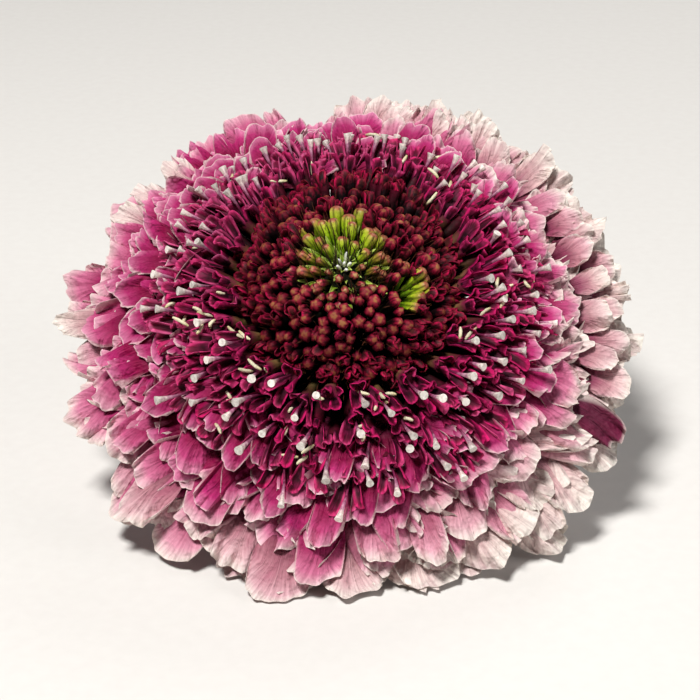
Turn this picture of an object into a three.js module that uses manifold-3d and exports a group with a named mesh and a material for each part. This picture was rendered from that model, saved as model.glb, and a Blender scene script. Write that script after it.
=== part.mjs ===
// A cut scabiosa flower (pincushion flower), lying on a surface.
// Its stem lies along +Y and bends up at the neck, and the domed head rests on the petals of its front rim,
// facing up and towards -Y. Millimetres, +Z up.
//
// The head is made in a frame of its own: the origin at the centre of the receptacle, +Z along the head's
// axis, +X to the right. Every floret grows from the receptacle. From the top down there are the green
// crown of young buds, the ripe buds, the open disc florets with their styles, three whorls of ray florets,
// and the bracts.
import * as THREE from "three";
import { mergeVertices } from "three/addons/utils/BufferGeometryUtils.js";
import Module from "manifold-3d";

const wasm = await Module();
wasm.setup();
const { Manifold } = wasm;

// ---------------------------------------------------------------- driving dimensions, in mm and degrees

const SMALLEST = 0.02; // details under this size are left out

// How the flower lies.
const HEAD_TILT = 34; // the head's axis leans this far from upright, towards -Y
const HEAD_AT = new THREE.Vector3(0, -35.6, 18.3); // the receptacle's centre above the surface
const SOFT_LANDING = 1.6; // height over which a petal bends to lie along the surface

// The receptacle, and the packed ovaries round it that the florets stand out of.
const RECEPTACLE_R = 4.6;
const GAP = 0.3; // between two pieces that touch in the flower
const CROWN_FLOOR_R = 10.8;
const BUD_FLOOR_R = 11.4;
const RAY_COLLAR_R = 10.4;
const BRACT_COLLAR_R = 6.1;
const OVARY_SIDES = 16;
const OVARY_STEP = 16; // degrees
const ROOT_DEPTH = 0.8; // of a floret's foot in the ovaries

// The polar angles of the cones that part one kind of floret from the next.
const CROWN_EDGE = 19.5;
const BUD_EDGE = 52;
const DISC_EDGE = 72.5;
const INNER_RAY_EDGE = 83.5;
const MIDDLE_RAY_EDGE = 92.5;
const OUTER_RAY_EDGE = 101;
const BRACT_EDGE = 139;

// The young green buds in two rings, which lean away from a small hollow at the middle.
const CROWN_RINGS = [
  { count: 5, polar: 5, lean: 18, length: 4.0, first: 20 },
  { count: 12, polar: 12.3, lean: 17.5, length: 4.2, first: 0 },
];
const CROWN_BUD = { footR: 0.45, headR: 0.8, cap: 1.0, depth: 0.6 };

// The ripe buds, whose tips lie on a sphere. The margin is what they keep from the cones on each side, in
// degrees.
const DOME_R = 14.8;
const BUD_COUNT = 108;
const RIPE_BUD = { footR: 0.5, headR: 0.85, cap: 0.6, depth: 0.5 };
const BUD_MARGIN = 4.5;
const BUD_SIDES = 5;

// The disc florets in three rings: where the tube is rooted, its mouth as (radius, height), the lean of its
// axis, and the length of the lobe that points outwards and of the one that points inwards.
const DISC_RINGS = [
  { count: 17, root: 56, mouth: [12.9, 8.6], lean: 43, outer: 3.0, inner: 1.7, seed: 900 },
  { count: 20, root: 62, mouth: [16.2, 7.3], lean: 48, outer: 3.3, inner: 1.7, seed: 1100 },
  { count: 23, root: 68, mouth: [19.6, 6.0], lean: 53, outer: 4.6, inner: 1.8, seed: 1300 },
];
const DISC_LOBES = 5;
const DISC_NOTCH = 0.6; // the length of a notch as a share of a lobe's
const DISC_FLARE = 46; // the lobes open this far from the axis
const DISC_TUBE_R = [0.5, 0.95];
const DISC_VARIES = { place: 0.12, height: 0.3, lean: 3, flare: 4, lobe: 0.08 };
const STYLE = { start: 0.7, length: 3.6, rootR: 0.32, stigmaR: 0.52 };

// The ray florets in three whorls. The mouth of the tube is given as (radius, height). The fan follows a
// surface of revolution that rises from the mouth and then falls, but it never sinks below its lowest
// height above the ground. Every other floret of a whorl lies over its neighbours.
const INNER_RAYS = {
  count: 12, root: 78, mouth: [12, 2.6], reach: 27.5, rise: 2.0, fall: 3.0, lowest: 4.8, first: 10,
  seed: 500,
};
const MIDDLE_RAYS = {
  count: 12, root: 88, mouth: [12, 0.7], reach: 30.3, rise: 1.6, fall: 3.6, lowest: 2.6, first: 20,
  seed: 600,
};
const OUTER_RAYS = {
  count: 12, root: 97, mouth: [12, -1.3], reach: 32.3, rise: 1.0, fall: 3.7, lowest: 0.29, first: 0,
  seed: 700,
};
const RAY_SPREAD = 39; // half the angle that a floret's three lobes spread over
const RAY_OVERLAP = 1.05; // the height of a floret over its neighbours
const RAY_VARIES = { place: 0.1, length: 0.02 };
const RAY_TUBE = { rootR: 0.5, mouthR: 0.8, sides: 4, overrun: 0.6 };
const PETAL_THICKNESS = 0.62;
const PETAL_ROWS = 2;

// The rim of a floret's three lobes, from its middle to each side: the direction as a share of the spread,
// and the length as a share of the floret's.
const RIM_TURN = [0, 0.19, 0.36, 0.68, 1];
const RIM_LENGTH = [1, 0.96, 0.82, 0.97, 0.72];

// The ray florets reach this far out, as a share, every 30 degrees from +X.
const REACH = [0.99, 0.96, 1.0, 0.97, 1.0, 1.01, 1.0, 0.99, 0.99, 0.98, 0.98, 1.0];

// The waves of the petals' rims round the head: how many there are, their height and their phase in
// degrees. They grow from the first radius and have their full height at twice that.
const WAVES = [
  { count: 15, height: 0.42, phase: 40 },
  { count: 8, height: 0.24, phase: 100 },
];
const WAVES_FROM = 15;

// The bracts. Every other one is shorter, and lies a step higher.
const BRACT_COUNT = 12;
const BRACT = {
  root: 124, length: 11.5, width: 2.8, thickness: 0.7, pitch: [-7, -15], short: 0.86, step: 0.5,
};
const BRACT_CUP = 0.5;
const BRACT_VARIES = 0.15;

// The stem. It swells into the receptacle through a neck, given as radii at distances under the
// receptacle's centre.
const STEM_R = 1.1;
const STEM_STRAIGHT = 58; // the length that lies on the surface
const STEM_SWAY = 2.2; // how far it wanders sideways there
const STEM_SIDES = 8;
const STEM_STEPS = 18;
const NECK = [[0, 9.0], [1.1, 8.8], [1.22, 7.2], [1.75, 5.7], [2.45, 4.7]];
const NECK_STRAIGHT = 1.4; // the length under the receptacle before the stem bends
const STEM_DEPTH = 1.6; // of the stem's end in the receptacle
const RECEPTACLE_SIDES = 12;
const RECEPTACLE_POLARS = [142, 115, 90, 60, 30];

// ---------------------------------------------------------------- small helpers

const rad = THREE.MathUtils.degToRad;
const GOLDEN = 180 * (3 - Math.sqrt(5));

// A number from 0 to 1 that belongs to k, the same on every run.
function chance(k) {
  const s = Math.sin(k * 12.9898 + 78.233) * 43758.5453;
  return s - Math.floor(s);
}

// The same, from -1 to 1.
const wobble = (k) => 2 * chance(k) - 1;

// A point in the head's frame by its distance from the centre, polar angle and azimuth.
function onSphere(radius, polar, azimuth) {
  const point = new THREE.Vector3().setFromSphericalCoords(radius, rad(polar), rad(azimuth + 90));
  return point.applyMatrix4(Y_TO_Z);
}
const Y_TO_Z = new THREE.Matrix4().makeRotationX(Math.PI / 2);

// A horizontal unit vector.
const outward = (azimuth) => new THREE.Vector3(Math.cos(rad(azimuth)), Math.sin(rad(azimuth)), 0);

// A value read from a list that covers 0 to 1 in even steps.
function stepped(values, t) {
  const place = t * (values.length - 1);
  const i = Math.min(Math.floor(place), values.length - 2);
  return THREE.MathUtils.lerp(values[i], values[i + 1], place - i);
}

// How far the ray florets reach at an azimuth, as a share.
function reachAt(azimuth) {
  const turn = (((azimuth % 360) + 360) % 360) / 30;
  const i = Math.floor(turn);
  return THREE.MathUtils.lerp(REACH[i % 12], REACH[(i + 1) % 12], turn - i);
}

// Bends a point of the head's frame that would sink below a height above the ground, so that it lies along
// it.
const UP = new THREE.Vector3(0, Math.sin(rad(HEAD_TILT)), Math.cos(rad(HEAD_TILT)));
function layDown(point, lowest) {
  const height = HEAD_AT.z + point.dot(UP) - lowest;
  if (height >= SOFT_LANDING) return;
  const eased = (SOFT_LANDING / 4) * Math.max(0, height / SOFT_LANDING + 1) ** 2;
  point.addScaledVector(UP, eased - height);
}

// ---------------------------------------------------------------- solids

// A closed three.js geometry as a manifold-3d solid.
function solid(geometry) {
  const bare = new THREE.BufferGeometry().setAttribute("position", geometry.getAttribute("position"));
  bare.setIndex(geometry.getIndex());
  const merged = mergeVertices(bare, 1e-4);
  const triVerts = new Uint32Array(merged.getIndex().array);
  const vertProperties = merged.getAttribute("position").array;
  const made = new Manifold(new wasm.Mesh({ numProp: 3, vertProperties, triVerts }));
  if (made.volume() > 0) return made;
  for (let i = 0; i < triVerts.length; i += 3) {
    [triVerts[i], triVerts[i + 1]] = [triVerts[i + 1], triVerts[i]];
  }
  return new Manifold(new wasm.Mesh({ numProp: 3, vertProperties, triVerts }));
}

// The two triangles of a quad.
const split = (a, b, c, d) => [a, b, c, a, c, d];

// A thin closed blade round the surface(u, v): its grid is moved half a thickness to each side along its
// normals, both faces are split into the same triangles, and a strip joins their rims.
function blade(surface, nu, nv, thickness) {
  const at = (i, j) => surface(i / nu, (2 * j) / nv - 1);
  const step = 0.02; // of a grid cell, to find the slope
  const sides = [[], []];
  for (let i = 0; i <= nu; i++) {
    for (let j = 0; j <= nv; j++) {
      const point = at(i, j);
      const along = at(Math.min(nu, i + step), j).sub(at(Math.max(0, i - step), j));
      const across = at(i, Math.min(nv, j + step)).sub(at(i, Math.max(0, j - step)));
      const normal = across.cross(along).normalize();
      sides[0].push(point.clone().addScaledVector(normal, -thickness / 2));
      sides[1].push(point.addScaledVector(normal, thickness / 2));
    }
  }
  const count = sides[0].length;
  const id = (i, j, side) => i * (nv + 1) + j + side * count;
  const faces = [];
  for (let i = 0; i < nu; i++) {
    for (let j = 0; j < nv; j++) {
      faces.push(...split(id(i, j, 1), id(i, j + 1, 1), id(i + 1, j + 1, 1), id(i + 1, j, 1)));
      faces.push(...split(id(i, j, 0), id(i + 1, j, 0), id(i + 1, j + 1, 0), id(i, j + 1, 0)));
    }
  }
  const rim = [];
  for (let j = 0; j < nv; j++) rim.push([0, j]);
  for (let i = 0; i < nu; i++) rim.push([i, nv]);
  for (let j = nv; j > 0; j--) rim.push([nu, j]);
  for (let i = nu; i > 0; i--) rim.push([i, 0]);
  rim.forEach(([i, j], k) => {
    const [m, n] = rim[(k + 1) % rim.length];
    faces.push(...split(id(i, j, 1), id(i, j, 0), id(m, n, 0), id(m, n, 1)));
  });
  const geometry = new THREE.BufferGeometry().setFromPoints([...sides[0], ...sides[1]]);
  geometry.setIndex(faces);
  return solid(geometry);
}

// A solid of revolution about the head's axis from a closed profile of (radius, height) points.
function turned(profile, segments) {
  const points = [...profile, profile[0]].map(([r, z]) => new THREE.Vector2(r, z));
  return solid(new THREE.LatheGeometry(points, segments).applyMatrix4(Y_TO_Z));
}

// The packed ovaries of one kind of floret: a ring between two radii and two polar angles, less half a gap
// at each.
function ovaries(outer, first, last) {
  const inner = RECEPTACLE_R + GAP;
  const points = Math.ceil((last - first) / OVARY_STEP);
  const arc = (radius) => {
    const gap = THREE.MathUtils.radToDeg(GAP / 2 / radius);
    const from = first > 0 ? first + gap : 0;
    return Array.from({ length: points + 1 }, (_, i) => {
      const polar = rad(THREE.MathUtils.lerp(from, last - gap, i / points));
      return [radius * Math.sin(polar), radius * Math.cos(polar)];
    });
  };
  return turned([...arc(outer), ...arc(inner).reverse()], OVARY_SIDES);
}

// A closed skin over rings of as many points each, with a point at each end.
function closedRings(rings, first, last) {
  const n = rings[0].length;
  const faces = [];
  for (let k = 0; k < n; k++) {
    const next = (k + 1) % n;
    faces.push(rings.length * n, next, k);
    for (let i = 0; i + 1 < rings.length; i++) {
      const [a, b] = [i * n, (i + 1) * n];
      faces.push(...split(a + k, a + next, b + next, b + k));
    }
    const end = (rings.length - 1) * n;
    faces.push(end + k, end + next, rings.length * n + 1);
  }
  const geometry = new THREE.BufferGeometry().setFromPoints([...rings.flat(), first, last]);
  geometry.setIndex(faces);
  return solid(geometry);
}

// A straight round rod from one point to another, its radius changing from the first to the second.
function rod(from, to, r0, r1, sides) {
  const axis = to.clone().sub(from);
  const geometry = new THREE.CylinderGeometry(r1, r0, axis.length(), sides);
  geometry.translate(0, axis.length() / 2, 0);
  const turn = new THREE.Quaternion().setFromUnitVectors(new THREE.Vector3(0, 1, 0), axis.normalize());
  return solid(geometry.applyQuaternion(turn).translate(from.x, from.y, from.z));
}

// A turned bud that stands at a point and leans along an axis: it widens to its head, and has a pointed
// cap.
function bud(foot, axis, length, { footR, headR, cap }) {
  const profile = [[0, 0], [footR, 0], [headR, length - cap], [0, length]];
  const geometry = new THREE.LatheGeometry(profile.map(([r, y]) => new THREE.Vector2(r, y)), BUD_SIDES);
  const turn = new THREE.Quaternion().setFromUnitVectors(new THREE.Vector3(0, 1, 0), axis);
  return solid(geometry.applyQuaternion(turn).translate(foot.x, foot.y, foot.z));
}

// The pieces joined in one body without details under the smallest size. A scrap that hangs loose is
// dropped and a hollow that is sealed is filled.
function fused(pieces) {
  const joined = Manifold.union(pieces).asOriginal().simplify(SMALLEST);
  return joined.decompose().reduce((best, body) => (body.volume() > best.volume() ? body : best));
}

function mesh(name, body, colour, roughness) {
  const found = body.getMesh();
  const geometry = new THREE.BufferGeometry();
  const points = Float32Array.from(found.vertProperties);
  geometry.setAttribute("position", new THREE.BufferAttribute(points, 3));
  geometry.setIndex(new THREE.BufferAttribute(Uint32Array.from(found.triVerts), 1));
  geometry.computeVertexNormals();
  const finish = new THREE.MeshStandardMaterial({ color: colour, roughness, metalness: 0 });
  const made = new THREE.Mesh(geometry, finish);
  made.name = name;
  return made;
}

// ---------------------------------------------------------------- the flower's pieces

// The height of a whorl's petals at a point that is (x, y) from the head's axis. Every petal of the head
// shares the waves, so that no petal crosses another.
function petalHeight(kind, x, y) {
  const radius = Math.hypot(x, y);
  const azimuth = Math.atan2(y, x);
  const t = (radius - kind.mouth[0]) / (kind.reach - kind.mouth[0]);
  const grown = Math.max(0, radius / WAVES_FROM - 1) ** 2;
  const wave = WAVES.reduce((sum, w) => sum + w.height * Math.cos(w.count * azimuth + rad(w.phase)), 0);
  return kind.mouth[1] + kind.rise * t - kind.fall * t * t + grown * wave;
}

// One ray floret: a tube, and a fan whose outer edge is cut into three rounded lobes.
function rayFloret(kind, index) {
  const seed = kind.seed + index;
  const azimuth = kind.first + ((index + RAY_VARIES.place * wobble(seed)) * 360) / kind.count;
  const reach = kind.reach * reachAt(azimuth) * (1 + RAY_VARIES.length * wobble(seed + 40));
  const mouth = outward(azimuth).multiplyScalar(kind.mouth[0]).setZ(kind.mouth[1]);
  const surface = (u, v) => {
    const run = u * (reach - kind.mouth[0]) * stepped(RIM_LENGTH, Math.abs(v));
    const turn = Math.sign(v) * RAY_SPREAD * stepped(RIM_TURN, Math.abs(v));
    const point = outward(azimuth + 90).multiplyScalar(v * RAY_TUBE.mouthR).add(mouth);
    point.addScaledVector(outward(azimuth + turn), run);
    point.z = petalHeight(kind, point.x, point.y);
    layDown(point, kind.lowest);
    point.z += index % 2 ? RAY_OVERLAP * Math.min(1, 2 * u) : 0;
    return point;
  };
  const root = onSphere(RAY_COLLAR_R - ROOT_DEPTH, kind.root, azimuth);
  const end = mouth.clone().addScaledVector(outward(azimuth), RAY_TUBE.overrun);
  const tube = rod(root, end, RAY_TUBE.rootR, RAY_TUBE.mouthR, RAY_TUBE.sides);
  return [tube, blade(surface, PETAL_ROWS, 2 * (RIM_TURN.length - 1), PETAL_THICKNESS)];
}

function rayWhorl(kind, first, last) {
  const florets = Array.from({ length: kind.count }, (_, i) => rayFloret(kind, i)).flat();
  return fused([ovaries(RAY_COLLAR_R, first, last), ...florets]);
}

// One disc floret, as one skin of rings: a five-sided tube that widens to its mouth, the outside and the
// inside of the five lobes that it opens into, and the style with its flared stigma. The tips of the lobes
// and the notches between them alternate round the axis.
function discFloret(kind, azimuth, seed) {
  const varied = (value, name, k) => value + DISC_VARIES[name] * wobble(seed + k);
  const root = onSphere(BUD_FLOOR_R - ROOT_DEPTH, kind.root, azimuth);
  const mouth = outward(azimuth).multiplyScalar(kind.mouth[0]).setZ(varied(kind.mouth[1], "height", 0));
  const axis = onSphere(1, varied(kind.lean, "lean", 1), azimuth);
  const outer = axis.clone().cross(outward(azimuth + 90)).negate();
  const across = axis.clone().cross(outer);
  const flare = rad(varied(DISC_FLARE, "flare", 2));
  const first = 2 * chance(seed + 3);
  const at = (centre, radius, along, turn) => centre.clone().addScaledVector(axis, along)
    .addScaledVector(outer, radius * Math.cos(turn)).addScaledVector(across, radius * Math.sin(turn));
  const corners = Array.from({ length: 2 * DISC_LOBES }, (_, k) => first + (k * Math.PI) / DISC_LOBES);
  const tubeRing = (centre, radius) => corners.map((_, k) => at(centre, radius, 0, corners[k - (k % 2)]));
  const rimRing = (lift) => corners.map((turn, k) => {
    const size = THREE.MathUtils.lerp(kind.inner, kind.outer, 0.5 + 0.5 * Math.cos(turn));
    const length = size * (k % 2 ? DISC_NOTCH : varied(1, "lobe", k));
    const radius = DISC_TUBE_R[1] + length * Math.sin(flare) - lift * Math.cos(flare);
    return at(mouth, radius, length * Math.cos(flare) + lift * Math.sin(flare), turn);
  });
  const stigma = at(mouth, 0, STYLE.length, 0);
  return closedRings([
    tubeRing(root, DISC_TUBE_R[0]),
    tubeRing(mouth, DISC_TUBE_R[1]),
    rimRing(0),
    rimRing(PETAL_THICKNESS),
    tubeRing(at(mouth, 0, STYLE.start, 0), STYLE.rootR),
    tubeRing(stigma, STYLE.stigmaR),
  ], root, stigma);
}

function discFlorets() {
  const florets = DISC_RINGS.flatMap((kind) => Array.from({ length: kind.count }, (_, i) => {
    const seed = kind.seed + 7 * i;
    return discFloret(kind, ((i + DISC_VARIES.place * wobble(seed + 5)) * 360) / kind.count, seed);
  }));
  return fused([ovaries(BUD_FLOOR_R, BUD_EDGE, DISC_EDGE), ...florets]);
}

// The ripe buds, evenly over the dome by the golden angle.
function ripeBuds() {
  const top = Math.cos(rad(CROWN_EDGE + BUD_MARGIN));
  const bottom = Math.cos(rad(BUD_EDGE - BUD_MARGIN));
  const foot = BUD_FLOOR_R - RIPE_BUD.depth;
  const buds = Array.from({ length: BUD_COUNT }, (_, i) => {
    const polar = THREE.MathUtils.radToDeg(Math.acos(top + ((bottom - top) * (i + 0.5)) / BUD_COUNT));
    const azimuth = i * GOLDEN;
    return bud(onSphere(foot, polar, azimuth), onSphere(1, polar, azimuth), DOME_R - foot, RIPE_BUD);
  });
  return fused([ovaries(BUD_FLOOR_R, CROWN_EDGE, BUD_EDGE), ...buds]);
}

function crown() {
  const foot = CROWN_FLOOR_R - CROWN_BUD.depth;
  const buds = CROWN_RINGS.flatMap(({ count, polar, lean, length, first }) =>
    Array.from({ length: count }, (_, i) => {
      const azimuth = first + (i * 360) / count;
      return bud(onSphere(foot, polar, azimuth), onSphere(1, lean, azimuth), length, CROWN_BUD);
    }),
  );
  return fused([ovaries(CROWN_FLOOR_R, 0, CROWN_EDGE), ...buds]);
}

// The ring of narrow pointed bracts under the head.
function bracts() {
  const blades = Array.from({ length: BRACT_COUNT }, (_, i) => {
    const azimuth = ((i + BRACT_VARIES * wobble(300 + i)) * 360) / BRACT_COUNT;
    const foot = onSphere(RECEPTACLE_R + GAP + 0.4, BRACT.root, azimuth);
    const length = BRACT.length * (i % 2 ? BRACT.short : 1);
    const level = (i % 2 ? BRACT.step : -BRACT.step) / 2;
    return blade((u, v) => {
      const width = BRACT.width * (0.75 + 0.9 * u) * Math.pow(1.04 - u, 0.75);
      const pitch = rad(THREE.MathUtils.lerp(...BRACT.pitch, u));
      const point = foot.clone().addScaledVector(outward(azimuth), length * u * Math.cos(pitch));
      point.z += length * u * Math.sin(pitch) + BRACT_CUP * v * v * u + level;
      return point.addScaledVector(outward(azimuth + 90), (v * width) / 2);
    }, 3, 2, BRACT.thickness);
  });
  return fused([ovaries(BRACT_COLLAR_R, OUTER_RAY_EDGE, BRACT_EDGE), ...blades]);
}

// The stem's centreline in the flower's frame: straight down out of the head, round the neck's bend, and
// along the surface with a slight sway.
function stemPath() {
  const tilt = rad(HEAD_TILT);
  const down = new THREE.Vector3(0, Math.sin(tilt), -Math.cos(tilt));
  const top = HEAD_AT.clone().addScaledVector(down, RECEPTACLE_R + NECK_STRAIGHT);
  const bend = (top.z - STEM_R) / (1 - Math.sin(tilt));
  const points = [HEAD_AT.clone().addScaledVector(down, RECEPTACLE_R - STEM_DEPTH)];
  for (let t = 0; t < 1; t += 0.2) {
    const angle = (Math.PI / 2 - tilt) * (1 - t);
    const run = bend * (Math.cos(tilt) - Math.sin(angle));
    points.push(new THREE.Vector3(0, top.y + run, STEM_R + bend * (1 - Math.cos(angle))));
  }
  const start = top.y + bend * Math.cos(tilt);
  for (let t = 0; t <= 1; t += 0.25) {
    const sway = STEM_SWAY * Math.sin(Math.PI * t * t);
    points.push(new THREE.Vector3(sway, start + STEM_STRAIGHT * t, STEM_R));
  }
  return new THREE.CatmullRomCurve3(points);
}

// The stem with the receptacle that it swells into. What would dip under the surface is cut off.
function stem() {
  const round = new THREE.Shape().absarc(0, 0, STEM_R, 0, 2 * Math.PI);
  const stalk = solid(new THREE.ExtrudeGeometry(round, {
    extrudePath: stemPath(), steps: STEM_STEPS, curveSegments: STEM_SIDES, bevelEnabled: false,
  }));
  const neck = NECK.map(([radius, under]) => [radius, -under]);
  const R = RECEPTACLE_R;
  const dome = RECEPTACLE_POLARS.map((polar) => [R * Math.sin(rad(polar)), R * Math.cos(rad(polar))]);
  const profile = [...neck, ...dome, [0, R]].map(([r, z]) => new THREE.Vector2(r, z));
  const lathe = new THREE.LatheGeometry(profile, RECEPTACLE_SIDES).applyMatrix4(Y_TO_Z);
  lathe.rotateX(rad(HEAD_TILT)).translate(HEAD_AT.x, HEAD_AT.y, HEAD_AT.z);
  const receptacle = solid(lathe);
  const above = new THREE.BoxGeometry(400, 400, 200).translate(0, 0, 100);
  return fused([stalk, receptacle]).intersect(solid(above));
}

// ---------------------------------------------------------------- the whole flower

const head = new THREE.Group();
head.position.copy(HEAD_AT);
head.rotation.x = rad(HEAD_TILT);
head.add(
  mesh("crown_buds", crown(), "#9db53a", 0.5),
  mesh("ripe_buds", ripeBuds(), "#7a1f33", 0.45),
  mesh("disc_florets", discFlorets(), "#9c1f5b", 0.55),
  mesh("inner_ray_florets", rayWhorl(INNER_RAYS, DISC_EDGE, INNER_RAY_EDGE), "#c04a86", 0.6),
  mesh("middle_ray_florets", rayWhorl(MIDDLE_RAYS, INNER_RAY_EDGE, MIDDLE_RAY_EDGE), "#d58aa6", 0.6),
  mesh("outer_ray_florets", rayWhorl(OUTER_RAYS, MIDDLE_RAY_EDGE, OUTER_RAY_EDGE), "#e6c2c6", 0.6),
  mesh("bracts", bracts(), "#6f8a3c", 0.65),
);

const flower = new THREE.Group();
flower.add(head, mesh("stem", stem(), "#7d9448", 0.6));

// The origin is on the surface, under the middle of the flower's box.
const box = new THREE.Box3().setFromObject(flower, true);
const middle = box.getCenter(new THREE.Vector3());
flower.position.set(-middle.x, -middle.y, -box.min.z);

export default flower;
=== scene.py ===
"""A cut scabiosa flower (pincushion flower) that lies on a pale floor, its domed head facing up and forwards.

Shapes are worked out in millimetres in the head's own frame: the origin at the centre of the receptacle, +Z
along the head's axis, +X to the right. placed() turns them into the frame of the solid part, in metres. Two
builders make every surface: blades() with shell() for petals, lobes and bracts, and rods() for tubes, buds
and hairs.
"""

import functools
import math

import bpy
import numpy as np
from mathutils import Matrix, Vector


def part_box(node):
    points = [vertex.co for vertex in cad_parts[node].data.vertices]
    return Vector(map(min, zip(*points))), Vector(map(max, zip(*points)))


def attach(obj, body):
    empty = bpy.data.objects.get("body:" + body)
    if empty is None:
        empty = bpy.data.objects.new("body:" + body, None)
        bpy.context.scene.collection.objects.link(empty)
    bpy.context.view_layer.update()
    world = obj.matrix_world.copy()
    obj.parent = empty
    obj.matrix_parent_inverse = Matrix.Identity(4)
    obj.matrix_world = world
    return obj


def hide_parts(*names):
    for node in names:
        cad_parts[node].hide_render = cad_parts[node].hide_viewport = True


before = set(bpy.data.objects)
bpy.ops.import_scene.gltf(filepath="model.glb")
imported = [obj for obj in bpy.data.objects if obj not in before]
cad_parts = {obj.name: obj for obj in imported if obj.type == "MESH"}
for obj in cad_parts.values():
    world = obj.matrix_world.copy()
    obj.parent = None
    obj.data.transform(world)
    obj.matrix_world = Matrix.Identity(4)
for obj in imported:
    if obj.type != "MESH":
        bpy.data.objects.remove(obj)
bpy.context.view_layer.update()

# ---- driving sizes, in millimetres and radians

MM = 0.001
UP = np.array([0.0, 0.0, 1.0])
FRONT = math.radians(270)
BACK = math.radians(90)
GOLDEN_ANGLE = math.pi * (3 - math.sqrt(5))
GOLDEN_RATIO = (math.sqrt(5) - 1) / 2

# How the flower lies.
HEAD_TILT = math.radians(34)
SOFT_LANDING = 1.6
RECEPTACLE_R = 4.6
STEM_LOW, STEM_HIGH = (np.array(corner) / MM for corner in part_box("stem"))
HEAD_AT = np.array([
    (STEM_LOW[0] + STEM_HIGH[0]) / 2,
    STEM_LOW[1] + RECEPTACLE_R,
    STEM_HIGH[2] - RECEPTACLE_R,
])
TILT_TURN = np.array([
    [1, 0, 0],
    [0, math.cos(HEAD_TILT), math.sin(HEAD_TILT)],
    [0, -math.sin(HEAD_TILT), math.cos(HEAD_TILT)],
])

# The dome of buds: the receptacle that they root in, and their tips.
CORE_R = 11.2
DOME_R = 14.8

# Values every 30 degrees round the head from +X: how far the ray florets reach, as a share of their whorl's
# reach, and how much of their colour has faded to cream. A narrow notch in the reach lies at the back.
REACH = np.array([0.99, 0.97, 1.01, 1.0, 1.01, 1.0, 0.985, 0.97, 0.99, 1.03, 1.01, 1.0])
FADED = np.array([1.0, 1.05, 0.9, 0.35, -0.1, 0.08, 0.2, 0.28, 0.4, 0.54, 0.78, 0.95])
NOTCH = {"depth": 0.15, "azimuth": math.radians(95), "spread": math.radians(7)}

PETAL_THICKNESS = 0.12
LOBE_THICKNESS = 0.2
FAN_SPAN = 20.0  # the width across a fan of veins that the UV map's width stands for

# ---- points and directions


def unit(vectors):
    """The vectors at length 1."""
    return vectors / np.linalg.norm(vectors, axis=-1, keepdims=True)


def polar(radius, tilt, azimuth):
    """Points at a distance from the centre, an angle from the axis and an azimuth: numbers or arrays."""
    radius, tilt, azimuth = np.broadcast_arrays(radius, tilt, azimuth)
    flat = radius * np.sin(tilt)
    return np.stack([flat * np.cos(azimuth), flat * np.sin(azimuth), radius * np.cos(tilt)], -1)


def outward(azimuth):
    """Unit vectors that point straight out from the axis."""
    return polar(1.0, math.pi / 2, azimuth)


def across_axis(angle, first, second):
    """Directions for each item at angles from its first direction towards its second."""
    return np.cos(angle)[..., None] * first[:, None] + np.sin(angle)[..., None] * second[:, None]


def placed(points):
    """Points of the head's frame in the part's frame, in metres: a turn by the tilt about X and a shift."""
    return (points @ TILT_TURN + HEAD_AT) * MM


def in_metres(points):
    """Points of the part's frame in metres."""
    return points * MM


def laid(points, lowest):
    """Points of the head's frame (item, row, column, xyz) as the floor bears them: where the height h of a
    point over the lowest one is under S, it is eased to S/4 (h/S + 1)^2, so that soft petals lie down."""
    turned = points @ TILT_TURN + HEAD_AT
    height = turned[..., 2] - lowest
    eased = SOFT_LANDING / 4 * np.maximum(0, height / SOFT_LANDING + 1) ** 2
    turned[..., 2] = lowest + np.where(height < SOFT_LANDING, eased, height)
    return (turned - HEAD_AT) @ TILT_TURN.T


def hill(azimuth, middle, spread):
    """A smooth hill round the head: exp(-(angle from the middle / spread)^2)."""
    apart = (azimuth - middle + math.pi) % (2 * math.pi) - math.pi
    return np.exp(-(apart / spread) ** 2)


def at_back(azimuth):
    """How much a direction counts as the back, where the dome of buds reaches further: 1 straight behind."""
    return hill(azimuth, BACK, math.radians(50))


def round_head(values, azimuth):
    """Twelve values, one every 30 degrees, read at any azimuth on straight lines between them."""
    turn = np.degrees(azimuth) % 360 / 30
    whole = np.floor(turn).astype(int)
    part = turn - whole
    return values[whole % 12] * (1 - part) + values[(whole + 1) % 12] * part


def reach_at(azimuth):
    """How far the ray florets reach at an azimuth, as a share, less the notch."""
    return round_head(REACH, azimuth) - NOTCH["depth"] * hill(azimuth, NOTCH["azimuth"], NOTCH["spread"])


def column(value):
    """One value for each item, or one for all, shaped to meet a grid of (item, row, column)."""
    return np.reshape(np.asarray(value, float), (-1, 1, 1))


def between(start, end, steps):
    """Paths of even steps from each start to each end: (1 - t) start + t end."""
    t = np.linspace(0, 1, steps)[None, :, None]
    return start[:, None] * (1 - t) + end[:, None] * t


def straight(start, direction, length, steps, bow=0.0, seed=0):
    """Paths of even steps from each start along a direction, bowed sideways by bow x sin(pi t)."""
    rng = np.random.default_rng(seed)
    t = np.linspace(0, 1, steps)[None, :, None]
    sideways = unit(np.cross(direction, rng.normal(size=direction.shape)))[:, None]
    return start[:, None] + direction[:, None] * column(length) * t + sideways * bow * np.sin(math.pi * t)


def up_axis(height):
    """One path up the head's axis through the heights."""
    return (height[:, None] * UP)[None]


# ---- the two surface builders


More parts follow.
